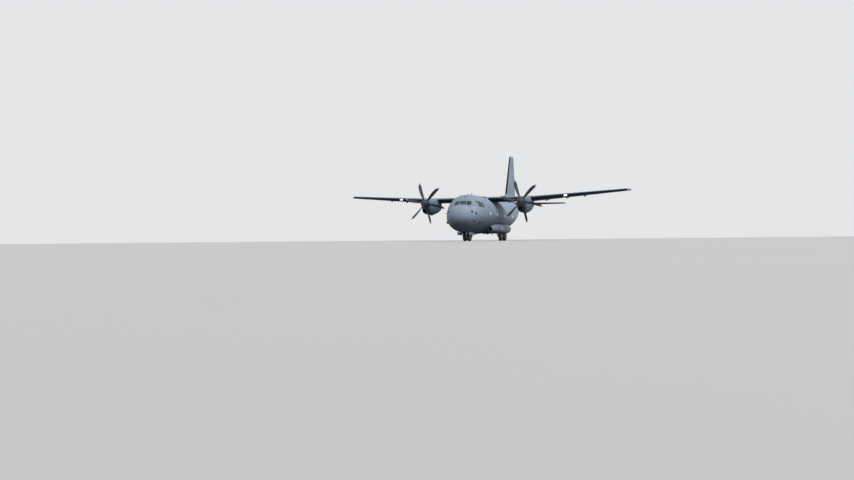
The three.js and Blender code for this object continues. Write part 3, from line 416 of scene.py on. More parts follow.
def solid(verts, faces, name="form"):
    mesh = bpy.data.meshes.new(name)
    mesh.from_pydata([tuple(v) for v in verts], [], faces)
    made = bpy.data.objects.new(name, mesh)
    bpy.context.scene.collection.objects.link(made)
    return made


def outward(made):
    grid = bmesh.new()
    grid.from_mesh(made.data)
    bmesh.ops.recalc_face_normals(grid, faces=grid.faces)
    if grid.calc_volume(signed=True) < 0:
        bmesh.ops.reverse_faces(grid, faces=grid.faces)
    grid.to_mesh(made.data)
    grid.free()
    return made


def loft(rings):
    """A closed skin over rings of equally many points."""
    rings = np.asarray(rings, float)
    count, sides = rings.shape[:2]
    faces = []
    for r in range(count - 1):
        a, b = r * sides, (r + 1) * sides
        faces += [(a + i, a + (i + 1) % sides, b + (i + 1) % sides, b + i) for i in range(sides)]
    faces.append(tuple(range(sides))[::-1])
    faces.append(tuple(range((count - 1) * sides, count * sides)))
    return outward(solid(rings.reshape(-1, 3), faces))


def lathe(profile, sides, place):
    """A profile of radius and length turned about the local Y axis, closed at the axis or on itself."""
    turns = circle(sides)
    verts, rows = [], []
    for r, y in profile:
        ring = [(0, y, 0)] if r == 0 else [(r * math.cos(t), y, r * math.sin(t)) for t in turns]
        rows.append((len(verts), len(ring) == 1))
        verts += ring
    ends = rows[1:] if profile[0][0] == 0 else rows[1:] + rows[:1]
    faces = []
    for (p, p_point), (q, q_point) in zip(rows, ends):
        for i in range(sides):
            j = (i + 1) % sides
            a = [p] if p_point else [p + i, p + j]
            b = [q] if q_point else [q + j, q + i]
            if len(a) + len(b) > 2:
                faces.append(tuple(a + b))
    return outward(solid([place @ Vector(v) for v in verts], faces))


def along(a, b):
    """A matrix whose Y axis runs from one point towards another."""
    a, b = Vector(a), Vector(b)
    turn = (b - a).to_track_quat("Y", "Z").to_matrix().to_4x4()
    return Matrix.Translation(a) @ turn


def turned(profile, sides, foot, out):
    """A profile turned about the line that leaves a point in a direction."""
    return lathe(profile, sides, along(foot, foot + Vector(out)))


def bar(a, b, radius, sides=24, end=None):
    length = (b - a).length
    end = radius if end is None else end
    return lathe([(0, 0), (radius, 0), (end, length), (0, length)], sides, along(a, b))


def rectangle(u0, u1, z0, z1):
    return [(u0, z0), (u1, z0), (u1, z1), (u0, z1)]


def lengthwise(outline, start, end):
    """An outline of widths and heights, run from one station to another."""
    return loft([[(x, y_of(s), z) for x, z in outline] for s in (start, end)])


def crosswise(outline, start, end):
    """An outline of stations and heights, run from one width to another."""
    return loft([[(x, y_of(s), z) for s, z in outline] for x in (start, end)])


def box(x, stations, z):
    return lengthwise(rectangle(*sorted(x), *sorted(z)), *sorted(stations))


def boolean(base, tools, operation):
    for tool in tools:
        step = base.modifiers.new("step", "BOOLEAN")
        step.object = tool
        step.operation = operation
        step.solver = "MANIFOLD"
        bpy.context.view_layer.update()
        graph = bpy.context.evaluated_depsgraph_get()
        mesh = bpy.data.meshes.new_from_object(base.evaluated_get(graph))
        base.modifiers.clear()
        spent = [base.data, tool.data]
        base.data = mesh
        bpy.data.objects.remove(tool)
        for old in spent:
            bpy.data.meshes.remove(old)
    return base


def cut(base, *tools):
    return boolean(base, tools, "DIFFERENCE")


def union(base, *others):
    return boolean(base, others, "UNION")


def common(base, *others):
    return boolean(base, others, "INTERSECT")


def joined(pieces):
    """Separate shells in one mesh."""
    base = pieces[0]
    with bpy.context.temp_override(active_object=base, selected_editable_objects=pieces):
        bpy.ops.object.join()
    return base


def dress(piece, name, material, body="body", replaces=(), angle=32, bevel=0.0):
    """Joins shells, names the piece, gives it its finish and smooth shading, and seats it on its body."""
    if isinstance(piece, list):
        piece = joined(piece)
    piece.name = name
    mesh = piece.data
    mesh.name = name
    mesh.materials.clear()
    mesh.materials.append(material)
    mesh.polygons.foreach_set("material_index", np.zeros(len(mesh.polygons), np.int32))
    if bevel:
        edge = piece.modifiers.new("edges", "BEVEL")
        edge.width = bevel
        edge.segments = 2
        edge.limit_method = "ANGLE"
        edge.angle_limit = math.radians(40)
    mesh.polygons.foreach_set("use_smooth", np.ones(len(mesh.polygons), bool))
    mesh.set_sharp_from_angle(angle=math.radians(angle))
    if replaces:
        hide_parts(*replaces)
    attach(piece, body)
    return piece


def rounded(angle, half, rise, power):
    c, s = np.cos(angle), np.sin(angle)
    return half * np.sign(c) * np.abs(c) ** (2 / power), rise * np.sign(s) * np.abs(s) ** (2 / power)


class Form(Rows):
    """A long rounded body, made of sections along the stations."""

    def __init__(self, columns, rows, power=1.0, sides=72, **fixed):
        super().__init__(columns, rows, power)
        self.sides = sides
        self.fixed = fixed

    def section(self, station):
        row = {"x": 0.0, **self.fixed, **self.at(station)}
        row["up"] = row["rise"] if "rise" in row else row["top"] - row["wide"]
        row["down"] = row["wide"] - row["bottom"] if "bottom" in row else row["up"]
        row.setdefault("crown", row["full"])
        return row

    def rings(self, stations, inset, side):
        angle = circle(self.sides) + math.pi / self.sides
        above = np.sin(angle) > 0
        made = []
        for station in stations:
            row = self.section(station)
            rise = np.where(above, row["up"], row["down"])
            power = np.where(above, row["crown"], row["full"])
            x, z = rounded(angle, max(0.004, row["half"] - inset), np.maximum(0.004, rise - inset), power)
            made.append(np.stack([side * (row["x"] + x), np.full_like(x, y_of(station)), row["wide"] + z], 1))
        return made

    def solid(self, start, end, inset=0.0, side=1):
        """The form between two stations, shrunk by an inset, with closer sections on the nose."""
        stations = np.linspace(start, end, max(2, int((end - start) / 0.16) + 1))
        if start < 0.5:
            stations = start + (end - start) * np.linspace(0, 1, 26) ** 2
        inner = [s for s in self.values[:, 0] if start < s < end]
        return loft(self.rings(np.unique(np.concatenate([stations, inner])), inset, side))

    def band(self, start, end, out, deep, side=1):
        """The skin from a height above it to a depth below it."""
        return cut(self.solid(start, end, -out, side), self.solid(start - 0.02, end + 0.02, deep, side))

    def half_at(self, station, z, out=0.0):
        row = self.section(station)
        rise, power = (row["up"], row["crown"]) if z > row["wide"] else (row["down"], row["full"])
        share = min(1.0, abs(z - row["wide"]) / (rise + out))
        return (row["half"] + out) * (1 - share ** power) ** (1 / power)

    def on(self, side, station, z, out=0.0, face=1):
        """A point on the flank, seen from outside, or from the fuselage where face is -1."""
        reach = float(self.section(station)["x"] + face * self.half_at(station, z, out))
        return at(side * reach, station, z)

    def normal(self, side, station, z, face=1):
        step = 0.02
        run = self.on(side, station + step, z, 0, face) - self.on(side, station - step, z, 0, face)
        rise = self.on(side, station, z + step, 0, face) - self.on(side, station, z - step, 0, face)
        made = run.cross(rise).normalized()
        return made if made.x * side * face > 0 else -made

    def spot(self, side, station, z, out=0.0, face=1):
        """A point on the flank and the direction out of it."""
        return self.on(side, station, z, out, face), self.normal(side, station, z, face)

    def crest(self, x, station, up=1):
        """The height of the roof, or of the belly where up is -1, at a width."""
        row = self.section(station)
        rise, power = (row["up"], row["crown"]) if up > 0 else (row["down"], row["full"])
        share = abs(x - row["x"]) / row["half"]
        return float(row["wide"] + up * rise * (1 - share ** power) ** (1 / power))


BODY = Form("station top bottom half wide full crown", [
    [0, 2.09, 2.05, 0.02, 2.07, 2, 2],
    [0.04, 2.3, 1.84, 0.26, 2.07, 2, 2],
    [0.15, 2.53, 1.62, 0.5, 2.08, 2, 2],
    [0.4, 2.8, 1.36, 0.81, 2.11, 2, 2],
    [0.8, 3.06, 1.11, 1.12, 2.16, 2, 2.05],
    [1.3, 3.29, 0.94, 1.39, 2.23, 2, 2.2],
    [1.7, 3.43, 0.865, 1.54, 2.29, 2, 2.4],
    [2.05, 3.74, 0.825, 1.64, 2.35, 2, 2.5],
    [2.6, 4.13, 0.785, 1.73, 2.43, 2, 2.5],
    [3.2, 4.34, 0.757, 1.77, 2.49, 2, 2.45],
    [3.9, 4.36, 0.745, 1.775, 2.52, 2, 2.3],
    [5.9, 4.31, 0.745, 1.775, 2.52, 2, 2],
    [12.4, 4.295, 0.745, 1.775, 2.52, 2, 2],
    [13.6, 4.295, 1.03, 1.765, 2.6, 2.4, 2],
    [15.0, 4.295, 1.47, 1.715, 2.8, 3.2, 2],
    [16.5, 4.295, 1.95, 1.6, 3.05, 4, 2],
    [18.0, 4.29, 2.45, 1.42, 3.3, 4.4, 2],
    [19.5, 4.28, 2.94, 1.17, 3.58, 4.2, 2.2],
    [21.0, 4.23, 3.42, 0.8, 3.82, 3.4, 2.4],
    [21.8, 4.14, 3.66, 0.47, 3.92, 2.6, 2.4],
    [21.95, 4.08, 3.74, 0.33, 3.92, 2.2, 2.2],
], power=0.5, sides=112)
COWL = Form("station top bottom half wide", [
    [5.0, 4.11, 2.78, 0.42, 3.46],
    [5.12, 4.16, 2.71, 0.46, 3.44],
    [5.5, 4.2, 2.66, 0.495, 3.43],
    [6.3, 4.25, 2.66, 0.51, 3.43],
    [7.2, 4.3, 2.72, 0.512, 3.47],
    [7.9, 4.32, 2.86, 0.5, 3.54],
    [8.4, 4.32, 3.01, 0.47, 3.6],
], x=ENGINE_X, full=2.5, sides=80)
SPONSON = Form("station x wide half rise full", [
    [6.15, 1.38, 1.15, 0.24, 0.24, 2],
    [6.21, 1.39, 1.155, 0.295, 0.285, 2],
    [6.6, 1.43, 1.165, 0.46, 0.37, 2.2],
    [7.3, 1.47, 1.18, 0.64, 0.44, 2.8],
    [8.0, 1.48, 1.185, 0.7, 0.465, 3.2],
    [10.4, 1.48, 1.185, 0.7, 0.465, 3.2],
    [11.6, 1.45, 1.19, 0.62, 0.42, 2.9],
    [12.7, 1.4, 1.22, 0.43, 0.33, 2.4],
    [13.4, 1.34, 1.27, 0.21, 0.19, 2],
    [13.7, 1.3, 1.31, 0.05, 0.05, 2],
])
FAIRING = Form("station half top", [
    [6.3, 0.42, 4.296],
    [6.8, 0.76, 4.345],
    [7.4, 0.96, 4.41],
    [8.2, 1.02, 4.432],
    [9.6, 1.0, 4.425],
    [10.8, 0.92, 4.385],
    [11.7, 0.7, 4.325],
    [12.3, 0.42, 4.285],
], wide=3.9, full=2.4)


# Fuselage

PANES = {
    "middle": [(-0.29, 3.405), (0.29, 3.405), (0.272, 3.7), (-0.272, 3.7)],
    "corner": [(0.385, 3.39), (0.79, 3.27), (0.77, 3.64), (0.368, 3.695)],
    "side": [(2.03, 3.215), (2.56, 3.12), (2.59, 3.66), (2.23, 3.68)],
    "quarter": [(2.7, 3.11), (3.09, 3.17), (3.03, 3.52), (2.73, 3.6)],
}
PORTHOLES = ((5.05, 2.62), (7.5, 2.6), (10.4, 2.52), (13.9, 2.52))
PORTHOLE_RADIUS = 0.165
WELL = {"half": 0.52, "front": 1.75, "back": 3.4, "roof": 1.75, "wall": 0.045}
CREW_DOOR = {"front": 3.35, "back": 4.15, "sill": 1.42, "head": 3.05, "opening": 110,
             "pin_x": 1.385, "steps": (1.62, 1.9, 2.18, 2.46)}


def grown(points, by):
    """An outline pushed out from its middle, corner by corner."""
    middle = np.mean(points, 0)
    return [tuple(np.array(p) + by * np.sign(np.array(p) - middle)) for p in points]


def softened(points, radius=0.05):
    """An outline with its corners rounded by short curves."""
    made = []
    count, steps = len(points), 5
    for i in range(count):
        before, here, after = (np.array(points[j % count]) for j in (i - 1, i, i + 1))
        start = here + (before - here) / np.linalg.norm(before - here) * radius
        end = here + (after - here) / np.linalg.norm(after - here) * radius
        for t in np.linspace(0, 1, steps):
            made.append(tuple((1 - t) ** 2 * start + 2 * t * (1 - t) * here + t * t * end))
    return made


def pane_prisms(grow=0.0):
    made = []
    for key, points in PANES.items():
        outline = softened(grown(points, grow))
        if key == "middle":
            made.append(lengthwise(outline, 1.4, 2.5))
        elif key == "corner":
            made += [lengthwise([(side * x, z) for x, z in outline], 1.4, 2.7) for side in SIDES]
        else:
            made += [crosswise(outline, side * 0.88, side * 1.95) for side in SIDES]
    return made


def crew_door_region(grow):
    return box((0.9, 2.1), (CREW_DOOR["front"] - grow, CREW_DOOR["back"] + grow),
               (CREW_DOOR["sill"] - grow, CREW_DOOR["head"] + grow))


def porthole_bar(side, station, z, radius, sides=48, inner=1.2, outer=2.1):
    return bar(at(side * inner, station, z), at(side * outer, station, z), radius, sides)


def porthole_bars(start, end):
    return [porthole_bar(side, s, z, PORTHOLE_RADIUS, 40)
            for s, z in PORTHOLES if start < s < end for side in SIDES]


def porthole_ring(side, station, z, out, deep, inner, outer):
    """A ring, or a disc where it has no inner radius, that follows the skin round a porthole."""
    part = common(BODY.band(station - 0.3, station + 0.3, out, deep), porthole_bar(side, station, z, outer))
    return cut(part, porthole_bar(side, station, z, inner, 48, 1.1, 2.2)) if inner else part


def portholes():
    """Each cabin window: a frame on the skin, a seal, a near-white pane that is painted light, and a reveal
    that lines the hole.
    """
    r = PORTHOLE_RADIUS
    for name, material, slot, ring in (
            ("frames", TRIM, "skin", (0.005, 0.01, r + 0.002, r + 0.04)),
            ("seals", DARK, "skin", (-0.004, 0.03, r - 0.014, r - 0.001)),
            ("panes", PORTHOLE_PAINTED_LIGHT, "glass", (-0.012, 0.024, 0, r - 0.006)),
            ("reveals", CABIN, "skin", (-0.034, WALL + 0.012, r - 0.01, r + 0.006))):
        rings = [porthole_ring(side, s, z, *ring) for s, z in PORTHOLES for side in SIDES]
        dress(rings, "porthole_" + name, material)


def radome():
    dress(BODY.solid(0, RADOME_END), "radome_shell", SKIN["radome"], replaces=["radome"])
    dress(BODY.solid(RADOME_END, RADOME_END + 0.004, 0.004), "radome_seal", DARK)


def nose_well(grow, floor):
    """The nose wheel's well, or the block round its walls."""
    return box((-WELL["half"] - grow, WELL["half"] + grow), (WELL["front"] - grow, WELL["back"] + grow),
               (floor, WELL["roof"] + grow))


def forward_fuselage():
    skin = cut(BODY.solid(RADOME_END + 0.004, FORWARD_END),
               BODY.solid(RADOME_END + 0.15, 3.25, COCKPIT_WALL),
               BODY.solid(3.2, FORWARD_END + 0.005, WALL))
    well = common(nose_well(WELL["wall"], 0.78), BODY.solid(RADOME_END + 0.1, FORWARD_END, 0.04))
    skin = cut(union(skin, well), nose_well(0, 0.4), *pane_prisms(), crew_door_region(PANEL_GAP),
               *porthole_bars(3, FORWARD_END))
    jacking_pad = bar(at(0, 4.6, 0.79), at(0, 4.6, 0.722), 0.06, 32)
    dress(union(skin, jacking_pad), "forward_shell", SKIN["body"], replaces=["fuselage_forward"])


def window_rims(inner, outer, out, deep):
    return [cut(common(BODY.band(1.5, 3.3, out, deep), rim), hole)
            for hole, rim in zip(pane_prisms(inner), pane_prisms(outer))]


def window_frames():
    """Painted posts round each pane, a dark seal inside them, and the glass."""
    dress(window_rims(0.024, 0.046, 0.005, 0.02), "window_posts", TRIM)
    dress(window_rims(-0.014, 0.0236, 0.003, 0.03), "window_seals", DARK)
    panes = [common(BODY.band(1.5, 3.3, -0.01, 0.04), rim) for rim in pane_prisms()]
    dress(panes, "window_panes", PANE, replaces=["cockpit_glazing"])


def station_at(x, z):
    """Where the nose is wide enough, at a height, to reach a width."""
    low, high = 0.0, 3.3
    for _ in range(40):
        middle = (low + high) / 2
        row = BODY.section(middle)
        inside = row["wide"] - row["down"] < z < row["top"] and BODY.half_at(middle, z) > x
        low, high = (low, middle) if inside else (middle, high)
    return high


def over_glass(side, x, z, out):
    station = station_at(x, z)
    return BODY.on(side, station, z) + BODY.normal(side, station, z) * out


def wiper(side):
    """An arm from its spindle below the corner pane to a blade that lies on the glass."""
    foot, spindle, elbow, tip = (over_glass(side, *spot) for spot in (
        (0.3, 3.31, -0.02), (0.3, 3.31, 0.03), (0.33, 3.37, 0.045), (0.6, 3.52, 0.035)))
    rail = [over_glass(side, *spot) for spot in ((0.43, 3.42, 0.018), (0.6, 3.52, 0.02), (0.7, 3.6, 0.018))]
    arm = [bar(foot, spindle, 0.022, 20), bar(spindle, elbow, 0.011, 12), bar(elbow, tip, 0.009, 12, 0.006)]
    arm += [bar(a, b, 0.009, 10) for a, b in zip(rail, rail[1:])]
    dress(arm, "wiper_" + side_name(side), BLACK)


def crew_door():
    wall = cut(BODY.solid(3.25, 4.3), BODY.solid(3.2, 4.35, WALL))
    leaf = common(wall, crew_door_region(0))
    reach = PANEL_GAP - GAP
    ends = (CREW_DOOR["front"] - reach, CREW_DOOR["back"] + reach)
    pin = bar(*(at(CREW_DOOR["pin_x"], s, CREW_DOOR["sill"] + 0.004) for s in ends), 0.01, 16)
    dress(union(leaf, pin), "crew_door_leaf", SKIN["body"], "crew_door", replaces=["crew_door"])


def crew_door_steps():
    """Wedges on the door's inner face, each level on top when the door is fully open, with a ribbed tread."""
    turn = math.radians(CREW_DOOR["opening"])
    run = np.array([math.cos(turn), math.sin(turn)])
    up = np.array([-math.sin(turn), math.cos(turn)])
    middle = (CREW_DOOR["front"] + CREW_DOOR["back"]) / 2
    shapes = {"steps": [], "treads": [], "step_edges": []}

    def plate(name, half, start, corners):
        outline = [tuple(start + run * out + up * rise) for out, rise in corners]
        shapes[name].append(lengthwise(outline, middle - half, middle + half))

    for height in CREW_DOOR["steps"]:
        heel = np.array([BODY.half_at(middle, height, -WALL), height])
        nose = heel + run * 0.2
        under = np.array([BODY.half_at(middle, nose[1] + 0.05, -WALL) + 0.02, nose[1] + 0.05])
        wedge = [tuple(p) for p in (heel - up * 0.02, heel, nose, under)]
        shapes["steps"].append(lengthwise(wedge, middle - 0.235, middle + 0.235))
        for i in range(6):
            rib = ((0, -0.003), (0.019, -0.003), (0.017, 0.005), (0.002, 0.005))
            plate("treads", 0.222, heel + run * (0.015 + 0.029 * i), rib)
        edge = ((0, -0.012), (0.008, 0), (0, 0.006), (-0.014, 0.006), (-0.014, -0.002))
        plate("step_edges", 0.238, nose, edge)
    steps = common(union(*shapes["steps"]), BODY.solid(3.2, 4.4, WALL - 0.01))
    dress(steps, "crew_door_steps", TRIM, "crew_door", bevel=0.003)
    dress(shapes["treads"], "crew_door_treads", TREAD, "crew_door")
    dress(shapes["step_edges"], "crew_door_step_edges", STEEL, "crew_door")


def centre_fuselage():
    shell = cut(BODY.solid(FORWARD_END + GAP, CENTRE_END),
                BODY.solid(FORWARD_END - 0.005, CENTRE_END + 0.005, WALL),
                centre_wing(0.0006), *porthole_bars(FORWARD_END, CENTRE_END))
    dress(shell, "centre_shell", SKIN["body"], replaces=["fuselage_centre"])


RAMP = {"front": 12.48, "back": 15.34, "half": 1.2, "slope": 17.4, "gap": 0.046, "pivot": (12.48, 0.802)}
DOOR = {"back": 18.35, "half_front": 1.08, "half_back": 0.68, "pivot": (18.31, 2.69)}


def belly_block(start, end, half_front, half_back):
    """A block through the belly whose ends lean with the ramp's sill."""
    lean = math.tan(math.radians(RAMP["slope"]))
    knots, bottoms = BODY.values[:, 0], BODY.values[:, 2]

    def ring(station, half, leans):
        z = float(np.interp(station, knots, bottoms))
        return [(x, y_of(station - (rise * lean if leans else 0)), z + rise)
                for x, rise in ((-half, -0.3), (half, -0.3), (half, 0.62), (-half, 0.62))]

    return loft([ring(start, half_front, start > RAMP["front"] + 0.5), ring(end, half_back, True)])


def knuckles(pivot, grow=0.0, wide=0.0):
    return [bar(at(side * (0.3 - wide), *pivot), at(side * (0.38 + wide), *pivot), 0.03 + grow, 24)
            for side in SIDES]


def lugs(start, end, low, high):
    return [box((side * (0.38 + GAP), side * 0.425), (start, end), (low, high)) for side in SIDES]


def rear_shell():
    return cut(BODY.solid(CENTRE_END + GAP, 21.95), BODY.solid(CENTRE_END - 0.005, 21.0, WALL))


def rear_fuselage():
    between, gap = RAMP["back"] + PANEL_GAP, PANEL_GAP
    ramp_half, ramp_z, (door_s, door_z) = RAMP["half"] + gap, RAMP["pivot"][1], DOOR["pivot"]
    shell = cut(rear_shell(),
                belly_block(RAMP["front"] - RAMP["gap"], between, ramp_half, ramp_half),
                belly_block(between - gap, DOOR["back"] + gap, DOOR["half_front"] + gap,
                            DOOR["half_back"] + gap),
                *knuckles(DOOR["pivot"], 0.008, GAP), *porthole_bars(CENTRE_END, 21))
    shell = union(shell, *lugs(12.405, RAMP["front"] - 0.014, ramp_z - 0.02, ramp_z + 0.04),
                  *lugs(door_s + 0.014, door_s + 0.13, door_z - 0.014, door_z + 0.022))
    dress(shell, "rear_shell", SKIN["body"], replaces=["fuselage_rear"])
    leaf = common(rear_shell(), belly_block(between, DOOR["back"], DOOR["half_front"], DOOR["half_back"]))
    dress(union(leaf, *knuckles(DOOR["pivot"])), "cargo_door_leaf", SKIN["body"], "cargo_door",
          replaces=["cargo_door"])


def over_ramp(outline, x0, x1):
    """An outline run across the ramp, trimmed to the inside of its skin."""
    return common(crosswise(outline, x0, x1), BODY.solid(12.41, 16, WALL / 2))


def cargo_ramp():
    leaf = common(rear_shell(), belly_block(RAMP["front"], RAMP["back"], RAMP["half"], RAMP["half"]))
    dress(union(leaf, *knuckles(RAMP["pivot"])), "ramp_skin", SKIN["body"], "cargo_ramp",
          replaces=["cargo_ramp"])
    deck = over_ramp([(12.53, 1.32), (15.28, 1.72), (15.28, 1.78), (12.53, 1.385)], -1.11, 1.11)
    web = [(12.56, 0.7), (15.24, 1.5), (15.24, 1.74), (12.56, 1.35)]
    webs = [over_ramp(web, x - 0.02, x + 0.02) for x in (-1.06, -0.38, 0.38, 1.06)]
    dress([deck, *webs], "ramp_deck", DECK, "cargo_ramp")
    strips = []
    for s in np.arange(12.7, 15.2, 0.3):
        lift = (s - 12.53) * 0.1437
        strips.append(over_ramp(rectangle(s, s + 0.04, 1.37 + lift, 1.42 + lift), -1.0, 1.0))
    dress(strips, "ramp_treads", TREAD, "cargo_ramp")


def wing_fairing():
    made = cut(FAIRING.solid(6.3, 12.3), BODY.solid(5.5, 13, -GAP), centre_wing(0.0005))
    dress(made, "wing_fairing_skin", SKIN["body"], replaces=["wing_fairing"])
    # A black band over the fairing's front: painted shade where the wing's front meets the roof, not a rubber
    # boot.
    boot = cut(FAIRING.band(6.86, 7.14, 0.004, 0.02), box((-2, 2), (6.5, 7.5), (3, 4.16)))
    dress(cut(boot, BODY.solid(6.5, 7.5, 0.002)), "fairing_front_shade_strip", BLACK)


# Wing

def chord_shares(count):
    """Shares of a chord that lie closer together at its two ends."""
    return (1 - np.cos(np.linspace(0, math.pi, count))) / 2


CHORD_SHARES = chord_shares(26)
CAMBER = 0.022
ROOT_THICK = 0.158
TIP_THICK = 0.13
SURFACES = (
    # name, inner and outer width, share of the chord at the hinge
    ("flap_inboard", 1.9, 5.21, 0.69),
    ("flap_outboard", 5.33, 10.42, 0.69),
    ("aileron", 10.5, 13.85, 0.74),
)
TIP = Rows("x back thin", [
    [13.9, 0, 1],
    [14.05, 0.04, 0.94],
    [14.23, 0.17, 0.75],
    [14.31, 0.32, 0.55],
    [HALF_SPAN, 0.56, 0.3],
])
LAMP_X = 8.4


def fullness(u):
    """The half thickness of a classic symmetric section at shares of its chord, a fifth as thick as long."""
    return 0.2969 * np.sqrt(u) - 0.126 * u - 0.3516 * u ** 2 + 0.2843 * u ** 3 - 0.1015 * u ** 4


def aerofoil(x, front, chord, z, thick, grow=0.0):
    u = CHORD_SHARES
    half = 5 * thick * fullness(u) + 0.0025 * u
    middle = CAMBER * 4 * u * (1 - u)
    y = y_of(front + chord * u + grow * (2 * u - 1))
    upper = np.stack([np.full_like(u, x), y, z + chord * (middle + half) + grow], 1)
    lower = np.stack([np.full_like(u, x), y, z + chord * (middle - half) - grow], 1)
    return np.concatenate([upper[::-1], lower[1:]])


def wing_at(x):
    out = min(1, max(0, (abs(x) - PANEL_JOINT) / (HALF_SPAN - PANEL_JOINT)))
    return {
        "front": ROOT_LE + (TIP_LE - ROOT_LE) * out,
        "chord": ROOT_CHORD + (TIP_CHORD - ROOT_CHORD) * out,
        "z": WING_Z + max(0, abs(x) - PANEL_JOINT) * math.tan(math.radians(DIHEDRAL)),
        "thick": ROOT_THICK + (TIP_THICK - ROOT_THICK) * out,
    }


def wing_loft(xs, grow=0.0):
    return loft([aerofoil(x, **wing_at(x), grow=grow) for x in xs])


def centre_wing(grow=0.0):
    return wing_loft(np.linspace(-PANEL_JOINT, PANEL_JOINT, 9), grow)


def outer_wing(side):
    rings = [aerofoil(side * x, **wing_at(x)) for x in np.linspace(PANEL_JOINT + GAP, 13.8, 12)]
    for x in (13.9, 13.98, 14.05, 14.12, 14.18, 14.23, 14.27, 14.31, 14.33, HALF_SPAN):
        row, wing = TIP.at(x), wing_at(x)
        back = float(row["back"])
        chord = wing["chord"] - back
        thick = wing["thick"] * float(row["thin"]) * wing["chord"] / chord
        rings.append(aerofoil(side * x, wing["front"] + back, chord, wing["z"], thick))
    return loft(rings)


def wing_middle(x, share):
    """The middle of the wing's section at a share of the chord, and its half thickness there."""
    wing = wing_at(x)
    ring = aerofoil(x, **wing)
    y = y_of(wing["front"] + wing["chord"] * share)
    upper = ring[:len(CHORD_SHARES)][::-1]
    lower = ring[len(CHORD_SHARES) - 1:]
    high = np.interp(y, upper[:, 1], upper[:, 2])
    low = np.interp(y, lower[:, 1], lower[:, 2])
    return Vector((x, y, (high + low) / 2)), (high - low) / 2


def wing_hinge(x, share):
    """A hinge point and the radius of the rod that it takes, just under the skins."""
    point, half = wing_middle(x, share)
    return point, half - 0.002


def direction_of(a, b):
    return (b[0] - a[0]).normalized()


def stretched(a, b, before, after):
    """The two ends of a hinge line, moved apart."""
    direction = direction_of(a, b)
    return a[0] - direction * before, b[0] + direction * after


def aft_of(a, b, reach, depth, side_gap):
    """The room behind a hinge line."""
    corners = ((0, -depth), (0, depth), (reach, depth), (reach, -depth))
    return loft([[(p.x, p.y + y, p.z + z) for y, z in corners] for p in stretched(a, b, side_gap, side_gap)])


def hinge_rod(a, b, grow=0.0, shift=0.0):
    return bar(*stretched(a, b, shift, shift), a[1] + grow, 40, b[1] + grow)


def hinge_pins(a, b, length):
    direction = direction_of(a, b)
    pins = []
    for (point, radius), sign in ((a, -1), (b, 1)):
        tip = point + direction * (length - 2 * GAP) * sign
        pins.append(bar(point - direction * 0.005 * sign, tip, min(0.026, radius * 0.6), 16, 0.004))
    return pins


def moving_surface(form, a, b, reach, depth=0.4):
    """A surface that turns about a hinge line, and the tools that cut its bay."""
    slack = PANEL_GAP + 0.008
    moving = union(common(form, aft_of(a, b, reach, depth, 0)), hinge_rod(a, b), *hinge_pins(a, b, slack))
    return moving, [aft_of(a, b, reach, depth, slack), hinge_rod(a, b, PANEL_GAP, slack)]


def wings():
    middle_bays = []
    for side in SIDES:
        where = side_name(side)
        bays = []
        for name, inner, outer, share in SURFACES:
            form = centre_wing() if inner < PANEL_JOINT else outer_wing(side)
            moving, bay = moving_surface(form, *(wing_hinge(side * x, share) for x in (inner, outer)), 1.5)
            node = name + "_" + where
            dress(moving, node + "_skin", SKIN["wing"], node, replaces=[node])
            (middle_bays if inner < PANEL_JOINT else bays).extend(bay)
        shell = cut(outer_wing(side), *bays, lamp_box(side, 0.17, 0.14, -0.13, 0.14))
        dress(shell, "wing_outer_skin_" + where, SKIN["wing"], replaces=["wing_outer_" + where])
    dress(cut(centre_wing(), *middle_bays), "wing_centre_skin", SKIN["wing"], replaces=["wing_centre"])


def lamp_box(side, half, back, low, high):
    """A block round the landing lamp in the leading edge."""
    front, x, z = wing_at(LAMP_X)["front"], side * LAMP_X, wing_at(LAMP_X)["z"]
    return box((x - half, x + half), (front - 0.1, front + back), (z + low, z + high))


def landing_lamp(side):
    """Two bulbs behind a clear cover that carries on the leading edge."""
    where = side_name(side)

    def edge_piece(half, grow, *room):
        form = wing_loft([side * x for x in (LAMP_X - half, LAMP_X, LAMP_X + half)], grow)
        return common(form, lamp_box(side, half, *room))

    cover = cut(edge_piece(0.168, 0, 0.138, -0.128, 0.138), edge_piece(0.16, -0.006, 0.16, -0.12, 0.13))
    dress(cover, "landing_lamp_cover_" + where, LENS)
    front, z = wing_at(LAMP_X)["front"], wing_at(LAMP_X)["z"]
    bulb = [(0, 0.03), (0.055, 0.0), (0.05, 0.01), (0, 0.045)]
    bulbs = [turned(bulb, 32, at(side * LAMP_X + shift, front + 0.075, z + 0.01), (0, 1, 0))
             for shift in (-0.075, 0.075)]
    dress(bulbs, "landing_lamp_" + where, WHITE_LAMP)


# Tail

FIN_SHARES = chord_shares(24)
FIN_ROOT_Z = 4.05
RUDDER_FOOT = 4.33
RUDDER_HEAD = 9.33
FIN = (
    # height, front, half thickness
    (4.25, 17.65, 0.25),
    (9.5, 20.05, 0.105),
)
FIN_TOP = Rows("z back thin", [
    [9.42, 0, 1],
    [9.5, 0.03, 0.93],
    [9.57, 0.09, 0.75],
    [9.615, 0.19, 0.52],
    [9.64, 0.33, 0.3],
])
TAIL = (
    # width, front, back, half thickness
    (0.15, 19.13, 21.76, 0.148),
    (6.0, 20.12, 21.5, 0.066),
    (6.08, 20.19, 21.485, 0.058),
    (6.15, 20.26, 21.47, 0.048),
    (6.18, 20.36, 21.43, 0.036),
    (6.2, 20.52, 21.38, 0.02),
)
ELEVATOR_HINGE = 20.95
ELEVATOR_INNER = 0.74


def rudder_edge(z):
    return LENGTH - (z - RUDDER_FOOT) * 0.154


def on_line(rows, where):
    """The measures on the straight line through two rows, at a place in their first column."""
    (start, *first), (end, *last) = rows
    share = (where - start) / (end - start)
    return [p + (q - p) * share for p, q in zip(first, last)]


